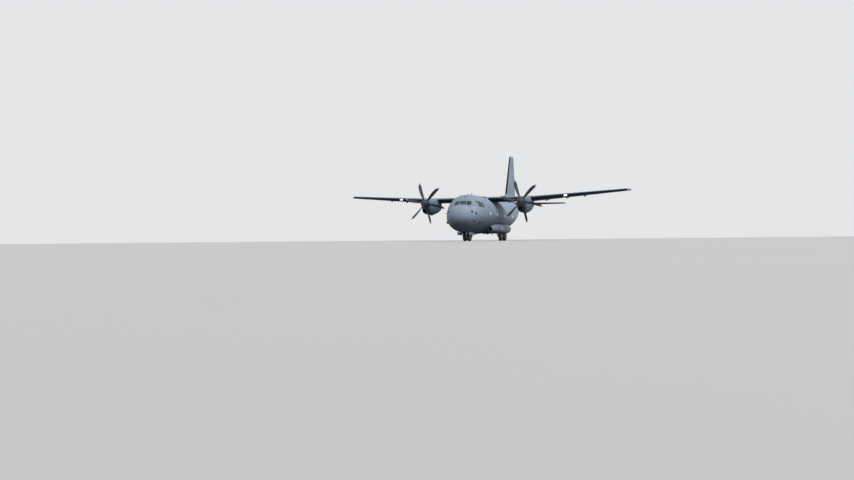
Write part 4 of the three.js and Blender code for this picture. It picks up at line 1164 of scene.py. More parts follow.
def fin_row(z):
    """The fin's front, back and half thickness at a height."""
    front, half = on_line(FIN, z)
    return front, rudder_edge(z), half


def tail_row(x):
    return on_line(TAIL[:2], x)


def fin_section(front, back, half):
    """Widths and stations of a symmetric section, from the back round the front to the back."""
    u = FIN_SHARES
    width = 10 * half * fullness(u) + 0.008 * u
    left = np.stack([width, front + (back - front) * u], 1)
    return np.concatenate([left[::-1], left[1:] * [-1, 1]])


def half_of(row, station):
    """The radius of a hinge rod just under the skins of a symmetric section."""
    ring = fin_section(*row)[:len(FIN_SHARES)][::-1]
    return float(np.interp(station, ring[:, 1], ring[:, 0])) - 0.002


def fin_form(grow=0.0):
    rings = []
    for z in [*np.linspace(FIN_ROOT_Z, 9.35, 9), 9.42, 9.46, 9.5, 9.54, 9.57, 9.595, 9.615, 9.63, 9.64]:
        row = FIN_TOP.at(max(z, 9.42))
        front, back, half = fin_row(z)
        shift = float(row["back"])
        flat = fin_section(front + shift - grow, back - shift * 0.4 + grow, half * float(row["thin"]) + grow)
        rings.append([(x, y_of(s), z) for x, s in flat])
    return loft(rings)


def fin_hinge(z):
    station = 20.85 + 0.2 * (z - RUDDER_FOOT) / (RUDDER_HEAD - RUDDER_FOOT)
    return at(0, station, z), half_of(fin_row(z), station)


def aft_of_rudder(a, b, drop, rise):
    corners = rectangle(-0.5, 0.5, 0, 2.6)
    return loft([[(x, p.y + y, p.z) for x, y in corners] for p in stretched(a, b, drop, rise)])


def fin_and_rudder():
    a, b = fin_hinge(RUDDER_FOOT), fin_hinge(RUDDER_HEAD)
    moving = union(common(fin_form(), aft_of_rudder(a, b, 0, 0)), hinge_rod(a, b))
    dress(moving, "rudder_skin", SKIN["fin"], "rudder", replaces=["rudder"])
    fillet = crosswise([(14.9, 4.2), (18.5, 4.2), (18.5, 5.3)], -0.065, 0.065)
    fixed = cut(union(fin_form(), fillet), aft_of_rudder(a, b, 0.7, PANEL_GAP),
                hinge_rod(a, b, PANEL_GAP, PANEL_GAP), BODY.solid(13.5, 21.9, -GAP))
    dress(fixed, "fin_skin", SKIN["fin"], replaces=["fin"])


def tail_hinge(side, x):
    return at(side * x, ELEVATOR_HINGE, TAIL_Z), half_of(tail_row(x), ELEVATOR_HINGE)


def tail_form(side):
    return loft([[(side * x, y_of(s), TAIL_Z + z) for z, s in fin_section(*row)] for x, *row in TAIL])


def tailplane(side):
    where = side_name(side)
    a, b = tail_hinge(side, ELEVATOR_INNER), tail_hinge(side, 5.85)
    moving, bay = moving_surface(tail_form(side), a, b, 1.2)
    dress(moving, "elevator_skin_" + where, SKIN["tail"], "elevators", replaces=["elevator_" + where])
    inner = box((0, side * ELEVATOR_INNER), (ELEVATOR_HINGE - 0.06, 22), (3.9, 4.48))
    fixed = cut(tail_form(side), *bay, inner, BODY.solid(18.5, 21.9, -GAP), fin_form(GAP))
    dress(fixed, "tailplane_skin_" + where, SKIN["tail"], replaces=["tailplane_" + where])


# Sponsons and nacelles

BAY = {"inner": 1.4, "outer": 2.06, "front": 7.6, "back": 10.65, "roof": 1.33}


def sponson(side):
    where = side_name(side)
    mouth, throat = at(side * 1.39, 6.1, 1.15), at(side * 1.43, 6.75, 1.16)
    bay = box((side * BAY["inner"], side * BAY["outer"]), (BAY["front"], BAY["back"]), (0.3, BAY["roof"]))
    jacking_pad = bar(at(side * 1.5, 11.4, 0.8), at(side * 1.5, 11.4, 0.682), 0.06, 32)
    ramp_side = RAMP["half"] + 2 * PANEL_GAP
    ramp_room = box((0, side * ramp_side), (RAMP["front"] - RAMP["gap"], 14), (0, 2.5))
    made = cut(union(SPONSON.solid(6.15, 13.7, 0, side), jacking_pad), BODY.solid(5.5, 14.5, -GAP),
               bar(mouth, throat, 0.195, 40, 0.15), bay, ramp_room)
    dress(made, "sponson_skin_" + where, SKIN["pod"], replaces=["sponson_" + where])
    ring = [(0.19, 0.012), (0.192, 0.0), (0.205, -0.008), (0.222, 0.004), (0.236, 0.04), (0.2, 0.06)]
    sleeve = [(0.1905, 0.05), (0.1715, 0.34), (0.1655, 0.34), (0.1845, 0.05)]
    screen = [(0, 0.3), (0.165, 0.3), (0.168, 0.34), (0, 0.34)]
    for name, foot, profile, sides in (("ring", at(side * 1.383, 6.135, 1.15), ring, 56),
                                       ("sleeve", mouth, sleeve, 56), ("screen", mouth, screen, 40)):
        dress(lathe(profile, sides, along(foot, throat)), f"sponson_inlet_{name}_{where}", DARK)


def mouth_prism(x, half, rise, start, end):
    """The intake's rounded outline, run aft from the cowl's front."""
    u, w = rounded(circle(48) + math.pi / 48, half, rise, 2.6)
    return lengthwise([(x + a, 2.995 + b) for a, b in zip(u, w)], COWL_FRONT + start, COWL_FRONT + end)


def nacelle(side):
    x = side * ENGINE_X
    where = side_name(side)
    shell = cut(COWL.solid(COWL_FRONT, COWL_END, 0, side),
                COWL.solid(COWL_FRONT + 0.07, COWL_END - 0.06, 0.045, side),
                mouth_prism(x, 0.33, 0.205, -0.05, 0.5),
                bar(at(x, COWL_FRONT - 0.02, HUB_Z), at(x, COWL_FRONT + 0.12, HUB_Z), 0.094, 40),
                bar(at(x, COWL_END - 0.12, PIPE_Z), at(x, COWL_END + 0.02, PIPE_Z), 0.326, 56),
                box((x - 0.8, x + 0.8), (7.7, COWL_END + 0.05), (WING_Z, 5.2)),
                centre_wing(0.0005))
    dress(shell, "nacelle_skin_" + where, SKIN["cowl"], replaces=["nacelle_" + where])
    lip = cut(mouth_prism(x, 0.352, 0.227, -0.03, 0.09), mouth_prism(x, 0.322, 0.197, -0.06, 0.2))
    dress(lip, "intake_lip_" + where, BLACK, bevel=0.012)
    duct = cut(mouth_prism(x, 0.318, 0.193, 0.03, 0.62), mouth_prism(x, 0.3, 0.175, 0.02, 0.55))
    dress(duct, "intake_duct_" + where, DARK)
    wall = [(0.298, 0), (0.32, 0), (0.32, 0.5), (0.316, 0.72), (0.3, 0.9), (0.29, 1.059), (0.278, 1.059),
            (0.288, 0.9), (0.298, 0.7)]
    pipe = turned(wall, 72, at(x, 7.7003, PIPE_Z), (0, 1, 0))
    dress(pipe, "exhaust_pipe_" + where, HOT_METAL, replaces=["exhaust_" + where])


# Propellers

BLADE = Rows("radius chord thick pitch sweep", [
    [0.17, 0.17, 0.15, 66, 0],
    [0.43, 0.185, 0.12, 62, 0],
    [0.56, 0.25, 0.07, 57, 0],
    [0.9, 0.33, 0.042, 49, -0.012],
    [1.3, 0.35, 0.03, 42, -0.008],
    [1.7, 0.31, 0.022, 36, 0.025],
    [1.95, 0.215, 0.014, 33, 0.07],
    [2.075, 0.1, 0.008, 31, 0.105],
])
BLADE_RADII = [*np.linspace(0.17, 0.6, 10), *np.linspace(0.68, 1.9, 16), 1.95, 2.0, 2.04, 2.065, 2.075]
TIP_RING = 25
BLADE_TURNS = [math.radians(60 * i - 18) for i in range(6)]


def blade(turn, hub):
    """The rings of one blade, from its root in the hub to its tip."""
    rows = BLADE.at(BLADE_RADII)
    t = circle(28)
    rings = []
    for i, radius in enumerate(BLADE_RADII):
        chord, thick, angle = rows["chord"][i], rows["thick"][i], math.radians(rows["pitch"][i])
        flatter = 0.92 if thick / chord < 0.4 else 1
        chordwise = np.cos(t) * 0.5 * chord - rows["sweep"][i]
        across = np.sin(t) * 0.5 * (1 - 0.35 * np.cos(t)) * flatter * thick
        ring = np.stack([-chordwise * math.cos(angle) - across * math.sin(angle),
                         -chordwise * math.sin(angle) + across * math.cos(angle), np.full_like(t, radius)], 1)
        rings.append(ring @ np.array(Matrix.Rotation(turn, 3, "Y")).T + np.array(hub))
    return rings


def propeller(side):
    where = side_name(side)
    hub = at(side * ENGINE_X, PROP_STATION, HUB_Z)
    body = "propeller_" + where
    blades = [blade(turn, hub) for turn in BLADE_TURNS]
    dress([loft(rings[:TIP_RING + 1]) for rings in blades], "blades_" + where, BLADE_PAINT, body,
          replaces=["propeller_" + where], angle=50)
    dress([loft(rings[TIP_RING:]) for rings in blades], "blade_tips_" + where, TIP_PAINT, body,
          angle=50)
    core = [(0, -0.17), (0.15, -0.17), (0.22, -0.11), (0.22, 0.267), (0.08, 0.267), (0.08, 0.4497),
            (0, 0.4497)]
    dress(lathe(core, 56, Matrix.Translation(hub)), "propeller_hub_" + where, STEEL, body)
    spinner(hub, body, where)


def spinner(hub, body, where):
    outer = [(0, -0.6), (0.03, -0.597), (0.075, -0.58), (0.14, -0.538), (0.21, -0.472), (0.27, -0.39),
             (0.32, -0.3), (0.362, -0.19), (0.392, -0.08), (0.411, 0.04), (0.421, 0.16), (0.425, 0.28)]
    inner = [(0.11, 0.28), (0.11, 0.268), (0.403, 0.268), (0.39, 0.04), (0.34, -0.18), (0.25, -0.38),
             (0.12, -0.52), (0, -0.56)]
    outs = [Vector((math.sin(turn), 0, math.cos(turn))) for turn in BLADE_TURNS]
    holes = [bar(hub + out * 0.3, hub + out * 0.5, 0.114, 36) for out in outs]
    shell = cut(lathe(outer + inner, 80, Matrix.Translation(hub)), *holes)
    dress(shell, "spinner_shell_" + where, SPINNER_PAINT, body, replaces=["spinner_" + where])


# Fittings on the wing and the tail

def canoe(x, start, end, depth, width):
    """A slim fairing under the wing, between two shares of the chord."""
    wing = wing_at(x)
    rings = []
    for share in np.linspace(0, 1, 13):
        u = start + (end - start) * share
        point, half = wing_middle(x, min(u, 0.99))
        swell = max(0.05, math.sin(math.pi * (0.12 + 0.76 * share)) ** 0.8)
        low, high = point.z - half - depth * swell, point.z
        rings.append([(x + width * swell * math.cos(a), y_of(wing["front"] + wing["chord"] * u),
                       (low + high) / 2 + (high - low) / 2 * math.sin(a)) for a in circle(20)])
    return loft(rings)


def track_fairings(side):
    where = side_name(side)
    fixed = [canoe(side * x, 0.4, 0.63, 0.12, 0.065) for x in (2.6, 6.3, 8.3, 10.0)]
    fixed += [canoe(side * x, 0.55, 0.69, 0.06, 0.035) for x in (11.2, 13.2)]
    dress(fixed, "track_fairings_" + where, SKIN["wing"])
    for body, places in (("flap_inboard_", (2.6,)), ("flap_outboard_", (6.3, 8.3, 10.0))):
        tails = [canoe(side * x, 0.715, 0.98, 0.1, 0.05) for x in places]
        dress(tails, body + "fairings_" + where, SKIN["wing"], body + where)


def fuel_caps(side):
    cap = [(0, -0.01), (0.11, -0.01), (0.108, 0.004), (0.06, 0.005), (0.056, 0.009), (0, 0.009)]
    caps = []
    for x, share in ((3.4, 0.3), (6.4, 0.32), (9.2, 0.32), (11.6, 0.35)):
        point, half = wing_middle(side * x, share)
        caps.append(turned(cap, 36, point + Vector((0, 0, half)), (0, 0, 1)))
    dress(caps, "fuel_caps_" + side_name(side), TRIM)


def wick(x, station, z, drop):
    """A static wick that trails from an edge."""
    return bar(at(x, station - 0.02, z), at(x, station + 0.16, z - drop), 0.006, 8, 0.003)


def aileron_wicks(side):
    rods = []
    for x in (11.2, 12.2, 13.2):
        wing = wing_at(x)
        rods.append(wick(side * x, wing["front"] + wing["chord"], wing["z"], 0.01))
    dress(rods, "aileron_wicks_" + side_name(side), BLACK, "aileron_" + side_name(side))


def aileron_tab_seam(side):
    """The joint round the trim tab, a shade proud of both skins."""
    inner, outer = 11.0, 12.6
    strips = []
    for x0, x1, start, end in ((inner, inner + 0.012, 0.9, 0.999), (outer - 0.012, outer, 0.9, 0.999),
                               (inner, outer, 0.9, 0.907)):
        rings = []
        for x in (x0, x1):
            wing = wing_at(x)
            ends = [y_of(wing["front"] + wing["chord"] * share) for share in (start, end)]
            rings.append([(side * x, y, z) for y, z in rectangle(*ends, 4, 5.4)])
        form = wing_loft([side * x for x in (inner - 0.1, outer + 0.1)], 0.0015)
        strips.append(common(form, loft(rings)))
    dress(strips, "aileron_tab_seam_" + side_name(side), DARK, "aileron_" + side_name(side))


def elevator_wicks(side):
    rods = [wick(side * x, tail_row(x)[1], TAIL_Z, 0.01) for x in (2.0, 3.6, 5.2)]
    dress(rods, "elevator_wicks_" + side_name(side), BLACK, "elevators")


def fin_antenna(side):
    """A swept vane on each side of the fin."""
    z = 8.35
    front, _, half = fin_row(z)
    rings = []
    for share in (0, 0.5, 1.0):
        x = side * (half * 0.81 + 0.24 * share)
        section = ((0.95 + 0.16 * share, 0), (1.1, 0.012), (1.3, 0), (1.1, -0.012))
        rings.append([(x, y_of(front + back), z + rise) for back, rise in section])
    dress(loft(rings), "fin_antenna_" + side_name(side), TRIM, bevel=0.002)


def rudder_tab_rods(side):
    """Horns on the rudder's trim tab and the rods that move them."""
    rods = []
    for z in (5.6, 6.6):
        horn = at(side * 0.14, 22.0652, z)
        rods.append(bar(at(side * 0.03, 22.1152, z), horn, 0.012, 12))
        rods.append(bar(horn, at(side * 0.11, 21.5, z), 0.008, 10))
    dress(rods, "rudder_tab_rods_" + side_name(side), STEEL, "rudder")


def rudder_wicks():
    dress([wick(0, rudder_edge(z), z, 0.02) for z in (7.2, 8.1, 9.0)], "rudder_wicks", BLACK, "rudder")


def rudder_tab_seam():
    foot, head, chord, wide = 4.75, 7.1, 0.3, 0.012
    strips = []
    for low, high, back in ((foot, foot + wide, 0.0), (head - wide, head, 0.0), (foot, head, chord - wide)):
        edges = [(z, rudder_edge(z)) for z in (low, high)]
        block = loft([[(x, y_of(s), z) for x, s in rectangle(-0.3, 0.3, edge - chord, edge - back)]
                      for z, edge in edges])
        strips.append(common(fin_form(0.0015), block))
    dress(strips, "rudder_tab_seam", DARK, "rudder")


# Fittings on the nacelles and the sponsons

def louvres(form, side, s0, s1, z0, z1, count, face=1):
    """Slats that stand out of a flank and follow its curve, each open to the rear."""
    parts = []
    back = Vector((0, 0.02, 0))
    for i in range(count):
        s = s0 + (s1 - s0) * (i + 0.5) / count
        rings = []
        for z in np.linspace(z0, z1, 9):
            p, out = form.spot(side, s, z, 0.0, face)
            rise = 0.014 * (1 - abs(2 * (z - z0) / (z1 - z0) - 1) ** 6)
            rings.append([p - out * 0.012, p + out * 0.001, p + out * (0.001 + rise) + back,
                          p + out * (rise - 0.006) + back * 1.6, p - out * 0.012 + back])
        parts.append(loft(rings))
    return parts


def cowl_louvres(side):
    slats = []
    for face in (1, -1):
        slats += louvres(COWL, side, 6.15, 6.75, 3.5, 3.72, 9, face)
        slats += louvres(COWL, side, 7.3, 7.7, 3.15, 3.3, 6, face)
    dress(slats, "cowl_louvres_" + side_name(side), TRIM)


def cowl_seams(side):
    """Joints round the cowl. Those under the wing stop short of it."""
    x = side * ENGINE_X
    seams = [COWL.band(s, s + 0.011, PROUD, 0.01, side) for s in (5.42, 7.05, 7.95)]
    seams[1:] = [cut(seam, box((x - 1, x + 1), (7, 9), (WING_Z - 0.1, 5))) for seam in seams[1:]]
    dress(seams, "cowl_seams_" + side_name(side), DARK)


def cowl_latches(side):
    latches = []
    for face in (1, -1):
        for s in (5.7, 6.3, 6.9):
            foot, out = COWL.spot(side, s, 2.98, -0.002, face)
            corners = [foot + Vector((0, y, z)) for y, z in rectangle(-0.045, 0.045, -0.012, 0.012)]
            latches.append(loft([[corner + out * rise for corner in corners] for rise in (0, 0.009)]))
    dress(latches, "cowl_latches_" + side_name(side), STEEL)


def oil_cooler_duct(side):
    """A swollen duct under the cowl with an open end."""
    x = side * ENGINE_X
    rings = []
    for share in np.linspace(0, 1, 10):
        station = 6.2 + 0.95 * share
        swell = math.sin(math.pi * (0.1 + 0.85 * share)) ** 0.7
        base = COWL.crest(ENGINE_X, station, -1) + 0.03
        rings.append([(x + 0.17 * swell * math.cos(a), y_of(station), base + 0.12 * swell * math.sin(a))
                      for a in circle(24)])
    mouth = box((x - 0.13, x + 0.13), (6.95, 7.3), (2.4, COWL.crest(ENGINE_X, 7.0, -1) - 0.012))
    dress(cut(loft(rings), mouth), "oil_cooler_duct_" + side_name(side), SKIN["cowl"])


def drain_pipes(side):
    x = side * ENGINE_X
    pipes = [bar(at(x + dx, 7.45, 2.85), at(x + dx, 7.52, 2.68), 0.012, 14) for dx in (-0.05, 0.0, 0.05)]
    dress(pipes, "drain_pipes_" + side_name(side), STEEL)


def exhaust_fittings(side):
    """A shroud round the pipe's mouth and a cone on cross vanes inside it."""
    x = side * ENGINE_X
    shroud = [(0.33, 0), (0.352, 0.01), (0.345, 0.07), (0.332, 0.085), (0.327, 0.085), (0.324, 0)]
    dress(turned(shroud, 64, at(x, 8.388, PIPE_Z), (0, 1, 0)), "exhaust_shroud_" + side_name(side), HOT_METAL)
    vanes = [box((x - half, x + half), (8.3, 8.42), (PIPE_Z - rise, PIPE_Z + rise))
             for half, rise in ((0.27, 0.008), (0.008, 0.27))]
    cone = bar(at(x, 8.2, PIPE_Z), at(x, 8.62, PIPE_Z), 0.1, 32, 0.03)
    dress(union(*vanes, cone), "exhaust_cone_" + side_name(side), HOT_METAL)


def gearbox_seal(side):
    cuff = turned([(0.096, 0), (0.13, 0), (0.125, 0.03), (0.096, 0.03)], 40,
                  at(side * ENGINE_X, 4.985, HUB_Z), (0, 1, 0))
    dress(cuff, "gearbox_seal_" + side_name(side), STEEL)


SPONSON_DOORS = (
    # first and last station, lowest and highest edge
    (6.9, 7.35, 1.05, 1.32),
    (8.35, 9.1, 1.02, 1.42),
    (10.1, 11.0, 1.0, 1.4),
    (11.4, 12.0, 1.06, 1.36),
)


def on_sponson(side, outline, out, deep):
    """An outline cut from the sponson's outer skin."""
    return common(SPONSON.band(9.2, 9.9, out, deep, side), crosswise(outline, side * 1.7, side * 2.4))


def dispensers(side):
    """Two framed blocks of small square cells on the sponson."""
    cells, frames = [], []
    for s in (9.34, 9.55):
        frames.append(on_sponson(side, grown(rectangle(s, s + 0.17, 1.06, 1.34), 0.02), 0.006, 0.02))
        for i in range(3):
            for j in range(5):
                start, foot = s + 0.012 + i * 0.05, 1.075 + j * 0.052
                cell = rectangle(start, start + 0.042, foot, foot + 0.043)
                cells.append(on_sponson(side, cell, 0.009, 0.006))
    dress(frames, "dispenser_frames_" + side_name(side), DARK)
    dress(cells, "dispenser_cells_" + side_name(side), ALLOY)


def sponson_fittings(side):
    where = side_name(side)
    dress(louvres(SPONSON, side, 7.5, 8.1, 1.06, 1.36, 8), "sponson_louvres_" + where, PALE)
    seams = [outline_strip(SPONSON, side, rectangle(*door), 0.05) for door in SPONSON_DOORS]
    dress(seams, "sponson_seams_" + where, DARK)
    outlet = [(0.05, 0), (0.062, 0), (0.066, 0.05), (0.062, 0.075), (0.052, 0.075)]
    pipe = turned(outlet, 32, SPONSON.on(side, 11.9, 1.24, -0.03), (side, 0.5, 0))
    dress(pipe, "auxiliary_outlet_" + where, HOT_METAL)


# Flight deck

SEAT_X = 0.56
DISPLAYS = (
    # name, finish, half width, half height, how far it stands out, bevel
    ("display_bezels", BLACK, 0.15, 0.12, 0.012, 0.004),
    ("displays", DISPLAY, 0.128, 0.098, 0.016, 0.0),
)


def on_deck(x, station, rise):
    return at(x, station, DECK_TOP + rise)


def displays():
    """Six screens and their bezels on the leaning instrument panel."""
    lean = Vector((0, 0.15, 0.75)).normalized()
    face = Vector((0, lean.z, -lean.y))
    base = on_deck(0, 1.83, 0) + lean * 0.52
    for name, material, width, height, out, bevel in DISPLAYS:
        corners = rectangle(-width, width, -height, height)
        plates = []
        for x in (-0.85, -0.52, -0.17, 0.17, 0.52, 0.85):
            ring = [base + Vector((x + w, 0, 0)) + lean * h for w, h in corners]
            plates.append(loft([[p + face * rise for p in ring] for rise in (-0.004, out)]))
        dress(plates, name, material, bevel=bevel)


def glare_shield():
    hood = crosswise([(1.66, 3.19), (2.0, 3.14), (2.06, 3.17), (1.9, 3.235), (1.66, 3.25)], -1.08, 1.08)
    made = common(hood, BODY.solid(1.2, 2.6, COCKPIT_WALL + 0.015))
    dress(made, "glare_shield", BLACK, bevel=0.01)


def control_columns():
    columns = []
    for side in SIDES:
        x = side * SEAT_X
        columns.append(bar(on_deck(x, 2.05, 0), on_deck(x, 2.2, 0.62), 0.028, 20))
        columns.append(bar(on_deck(x - 0.13, 2.22, 0.64), on_deck(x + 0.13, 2.22, 0.64), 0.018, 16))
        for hand in SIDES:
            grip = on_deck(x + hand * 0.13, 2.22, 0.62), on_deck(x + hand * 0.17, 2.24, 0.77)
            columns.append(bar(*grip, 0.019, 16))
    dress(columns, "control_columns", BLACK)


def power_levers():
    knob = [(0, 0), (0.02, 0.005), (0.022, 0.03), (0, 0.045)]
    levers = []
    for x in (-0.09, -0.03, 0.03, 0.09):
        levers.append(bar(on_deck(x, 2.1, 0.36), on_deck(x, 2.02, 0.52), 0.008, 12))
        levers.append(turned(knob, 20, on_deck(x, 2.02, 0.51), (0, -0.04, 0.09)))
    dress(levers, "power_levers", STEEL)


def overhead_panel():
    made = crosswise([(2.42, 3.7), (2.95, 3.93), (2.95, 4.03), (2.42, 3.78)], -0.32, 0.32)
    dress(made, "overhead_panel", PANEL, bevel=0.006)


def cushion(name, middle, half):
    """A crowned pad whose faces are drawn in along two sewn channels."""
    t = circle(40)
    flat = half.index(min(half))
    wide, deep = (i for i in range(3) if i != flat)
    rings = []
    for h in np.linspace(-1, 1, 21):
        swell = (1 - abs(h) ** 4) ** 0.25 * 0.98 + 0.02
        trim = 0.93 + 0.07 * swell
        u, w = rounded(t, half[wide] * trim, half[deep] * trim, 5)
        ring = np.zeros((len(t), 3))
        ring[:, wide], ring[:, deep] = u * swell, w * swell
        lift = 1 - 0.25 * ((u / half[wide]) ** 2 + (w / half[deep]) ** 2) * abs(h)
        sewn = 1 - 0.12 * np.exp(-((np.abs(u / half[wide]) - 0.36) / 0.06) ** 2) * abs(h)
        ring[:, flat] = half[flat] * h * lift * sewn
        rings.append(ring + np.array(middle))
    pad = dress(loft(rings), name, FABRIC, angle=60)


SEAT_PADS = (
    # name, station, height over the deck, half width, half depth and half height
    ("seat_cushion_", 2.7, 0.47, (0.235, 0.23, 0.05)),
    ("seat_back_", 2.86, 0.78, (0.225, 0.05, 0.29)),
    ("head_rest_", 2.87, 1.17, (0.14, 0.045, 0.085)),
)


def seat_pads(side):
    for name, station, rise, half in SEAT_PADS:
        cushion(name + side_name(side), on_deck(side * SEAT_X, station, rise), half)


def kept_nodes():
    """Nodes that keep their own solids take a finish."""
    finishes = {"cargo_floor": DECK, "cockpit_interior": PANEL, "engine_port": CORE, "engine_starboard": CORE}
    for node, material in finishes.items():
        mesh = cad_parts[node].data
        mesh.materials.clear()
        mesh.materials.append(material)


# Landing gear

MAIN = {"radius": 0.495, "width": 0.33, "rim": 0.205, "bore": 0.057, "x": 1.835,
        "stations": {"front": 8.45, "rear": 9.95}}
NOSE = {"radius": 0.368, "width": 0.25, "rim": 0.135, "bore": 0.042, "x": 0.195, "station": 3.04}
STEER_STATION = 2.95
LEG_FOOT = 0.8
# The solid tyres have 16 sides and stand on one flat of their outline
FLAT = math.cos(math.pi / 16)
MAIN_AXLE_Z = MAIN["radius"] * FLAT
NOSE_AXLE_Z = NOSE["radius"] * FLAT
ARM_X = 1.545
LEVER = 0.48


def tyre_profile(spec):
    """Half round shoulders and a tread with four grooves, standing at its loaded radius."""
    rim, radius, half = spec["rim"] + 0.0005, spec["radius"] * FLAT, spec["width"] / 2
    seat = spec["width"] * 0.4 - 0.0183
    flank = []
    for t in np.linspace(0, math.pi / 2, 12)[:-1]:
        r = rim + 0.012 + (radius - rim - 0.012) * math.sin(t) ** 0.72
        flank.append((r, half * (0.84 + 0.16 * math.sin(2 * t) ** 0.8) * math.cos(t) ** 0.42))
    edge = flank[-1][1] * 0.82
    groove, depth = half * 0.07, 0.011
    tread = []
    for y in (edge * share for share in (0.62, 0.22, -0.22, -0.62)):
        tread += [(radius, y + groove), (radius - depth, y + groove * 0.6),
                  (radius - depth, y - groove * 0.6), (radius, y - groove)]
    other = [(r, -y) for r, y in flank[::-1]]
    return [(rim, seat), *flank, (radius, edge), *tread, (radius, -edge), *other, (rim, -seat)]


def rim_profile(spec):
    """Two hub flanges on a dished web, and the flanges that hold the tyre."""
    rim, bore, edge = spec["rim"], spec["bore"], spec["width"] * 0.4
    hub, web = bore + 0.05, 0.026
    half = [(bore, edge * 0.75), (hub, edge * 0.75), (hub, web + 0.012), (hub + 0.012, web),
            (rim - 0.034, web), (rim - 0.022, web + 0.012), (rim - 0.022, edge), (rim + 0.012, edge),
            (rim + 0.016, edge - 0.004), (rim, edge - 0.018)]
    return [(r, -y) for r, y in half] + half[::-1]


def rim_solid(spec, place):
    """A rim with lightening holes through its web and a ring of tie bolts."""
    hub, well = spec["bore"] + 0.05, spec["rim"] - 0.022
    ring, size = (hub + well) / 2, (well - hub) * 0.27

    def across(turn, half, radius, sides):
        middle = Vector((ring * math.cos(turn), 0, ring * math.sin(turn)))
        reach = Vector((0, half, 0))
        return bar(place @ (middle - reach), place @ (middle + reach), radius, sides)

    turns = [i * math.pi / 4 for i in range(8)]
    holes = [across(turn, 0.1, size, 20) for turn in turns]
    bolts = [across(turn + math.pi / 8, 0.042, size * 0.42, 6) for turn in turns]
    return [cut(lathe(rim_profile(spec), 72, place), *holes), *bolts]


def wheel(spec, side, station, axle_z, node, tyre, body):
    """A rim and its tyre. Returns the turning place of both."""
    centre = at(side * spec["x"], station, axle_z)
    place = along(centre, centre + Vector((side, 0, 0)))
    dress(rim_solid(spec, place), node + "_rim", ALLOY, body, replaces=[node])
    rubber = tyre_rubber("tread_" + tyre, centre, spec["radius"])
    dress(lathe(tyre_profile(spec), 96, place), tyre + "_tread", rubber, body, replaces=[tyre],
          angle=40)
    return place


def hose(points, radius=0.009):
    """A bent pipe along a smooth run through its points."""
    knots, points = np.arange(len(points), dtype=float), np.array(points, float)
    where = np.linspace(0, len(points) - 1, (len(points) - 1) * 8 + 1)
    run = [Vector(p) for p in np.stack([monotone(knots, points[:, i], where) for i in range(3)], 1)]
    rings = []
    for i, p in enumerate(run):
        heading = (run[min(i + 1, len(run) - 1)] - run[max(i - 1, 0)]).normalized()
        turn = heading.to_track_quat("Y", "Z").to_matrix()
        rings.append([p + turn @ Vector((radius * math.cos(t), 0, radius * math.sin(t))) for t in circle(10)])
    return loft(rings)


def main_lever(side, station):
    """One trailing lever with its pivot, axle and strut socket, in the sponson's bay."""
    wall = BAY["inner"] + GAP
    collar = MAIN["x"] - MAIN["width"] * 0.3 - GAP

    def spot(x, aft, z):
        return at(side * x, station + aft, z)

    def on_axle(x, aft=0.0, up=0.0):
        return spot(x, aft, MAIN_AXLE_Z + up)

    arm = union(bar(spot(wall + 0.03, -LEVER, 1.0), spot(1.6, -LEVER, 1.0), 0.07, 32),
                bar(spot(ARM_X, -LEVER, 1.0), on_axle(ARM_X), 0.062, 32, 0.055),
                bar(on_axle(ARM_X), on_axle(collar), 0.078, 32),
                bar(on_axle(1.49), on_axle(1.96), MAIN["bore"] - 0.007, 32),
                bar(on_axle(ARM_X, -0.108, 0.35), spot(ARM_X, -0.06, BAY["roof"] - 0.0143), 0.06, 32))
    ears = [bar(on_axle(ARM_X - 0.05, -0.13, 0.14), on_axle(ARM_X + 0.05, -0.13, 0.14), 0.055, 24),
             bar(on_axle(ARM_X, -0.125, 0.13), on_axle(ARM_X, -0.03, 0.02), 0.045, 20)]
    oleo = bar(on_axle(ARM_X, -0.13, 0.14), on_axle(ARM_X, -0.1, 0.4), 0.042, 32)
    pipe = hose([on_axle(1.6, -0.03, 0.12), on_axle(1.53, -0.18, 0.2), spot(1.52, 0.2 - LEVER, 0.95),
                 spot(1.5, 0.02 - LEVER, 1.1), spot(1.47, -LEVER, BAY["roof"] - 0.01)])
    return [arm, *ears], oleo, pipe


def brake(side, station):
    """A stack of discs, a back plate and six pistons."""
    parts = []
    for i in range(4):
        r = 0.15 - 0.004 * (i % 2)
        parts.append(turned([(0.08, 0), (r, 0), (r, 0.016), (0.08, 0.016)], 48,
                            at(side * (1.632 + i * 0.023), station, MAIN_AXLE_Z), (side, 0, 0)))
    for i in range(6):
        t = i * math.pi / 3
        foot = at(side * 1.6, station + 0.11 * math.cos(t), MAIN_AXLE_Z + 0.11 * math.sin(t))
        parts.append(bar(foot, foot + Vector((side * 0.035, 0, 0)), 0.024, 16))
    parts.append(turned([(0.06, 0), (0.14, 0), (0.14, 0.01), (0.06, 0.01)], 40,
                        at(side * 1.62, station, MAIN_AXLE_Z), (side, 0, 0)))
    return parts


def main_wheel(side, position, station):
    where = side_name(side)
    node = f"main_wheel_{position}_{where}"
    place = wheel(MAIN, side, station, MAIN_AXLE_Z, node, f"main_tyre_{position}_{where}", node)
    reach, bore = MAIN["width"] * 0.3, MAIN["bore"]
    cap = [(0, reach), (bore + 0.018, reach), (bore + 0.02, reach + 0.014), (bore * 0.6, reach + 0.022),
           (bore * 0.5, reach + 0.034), (0, reach + 0.036)]
    dress(lathe(cap, 40, place), node + "_cap", STEEL, node)


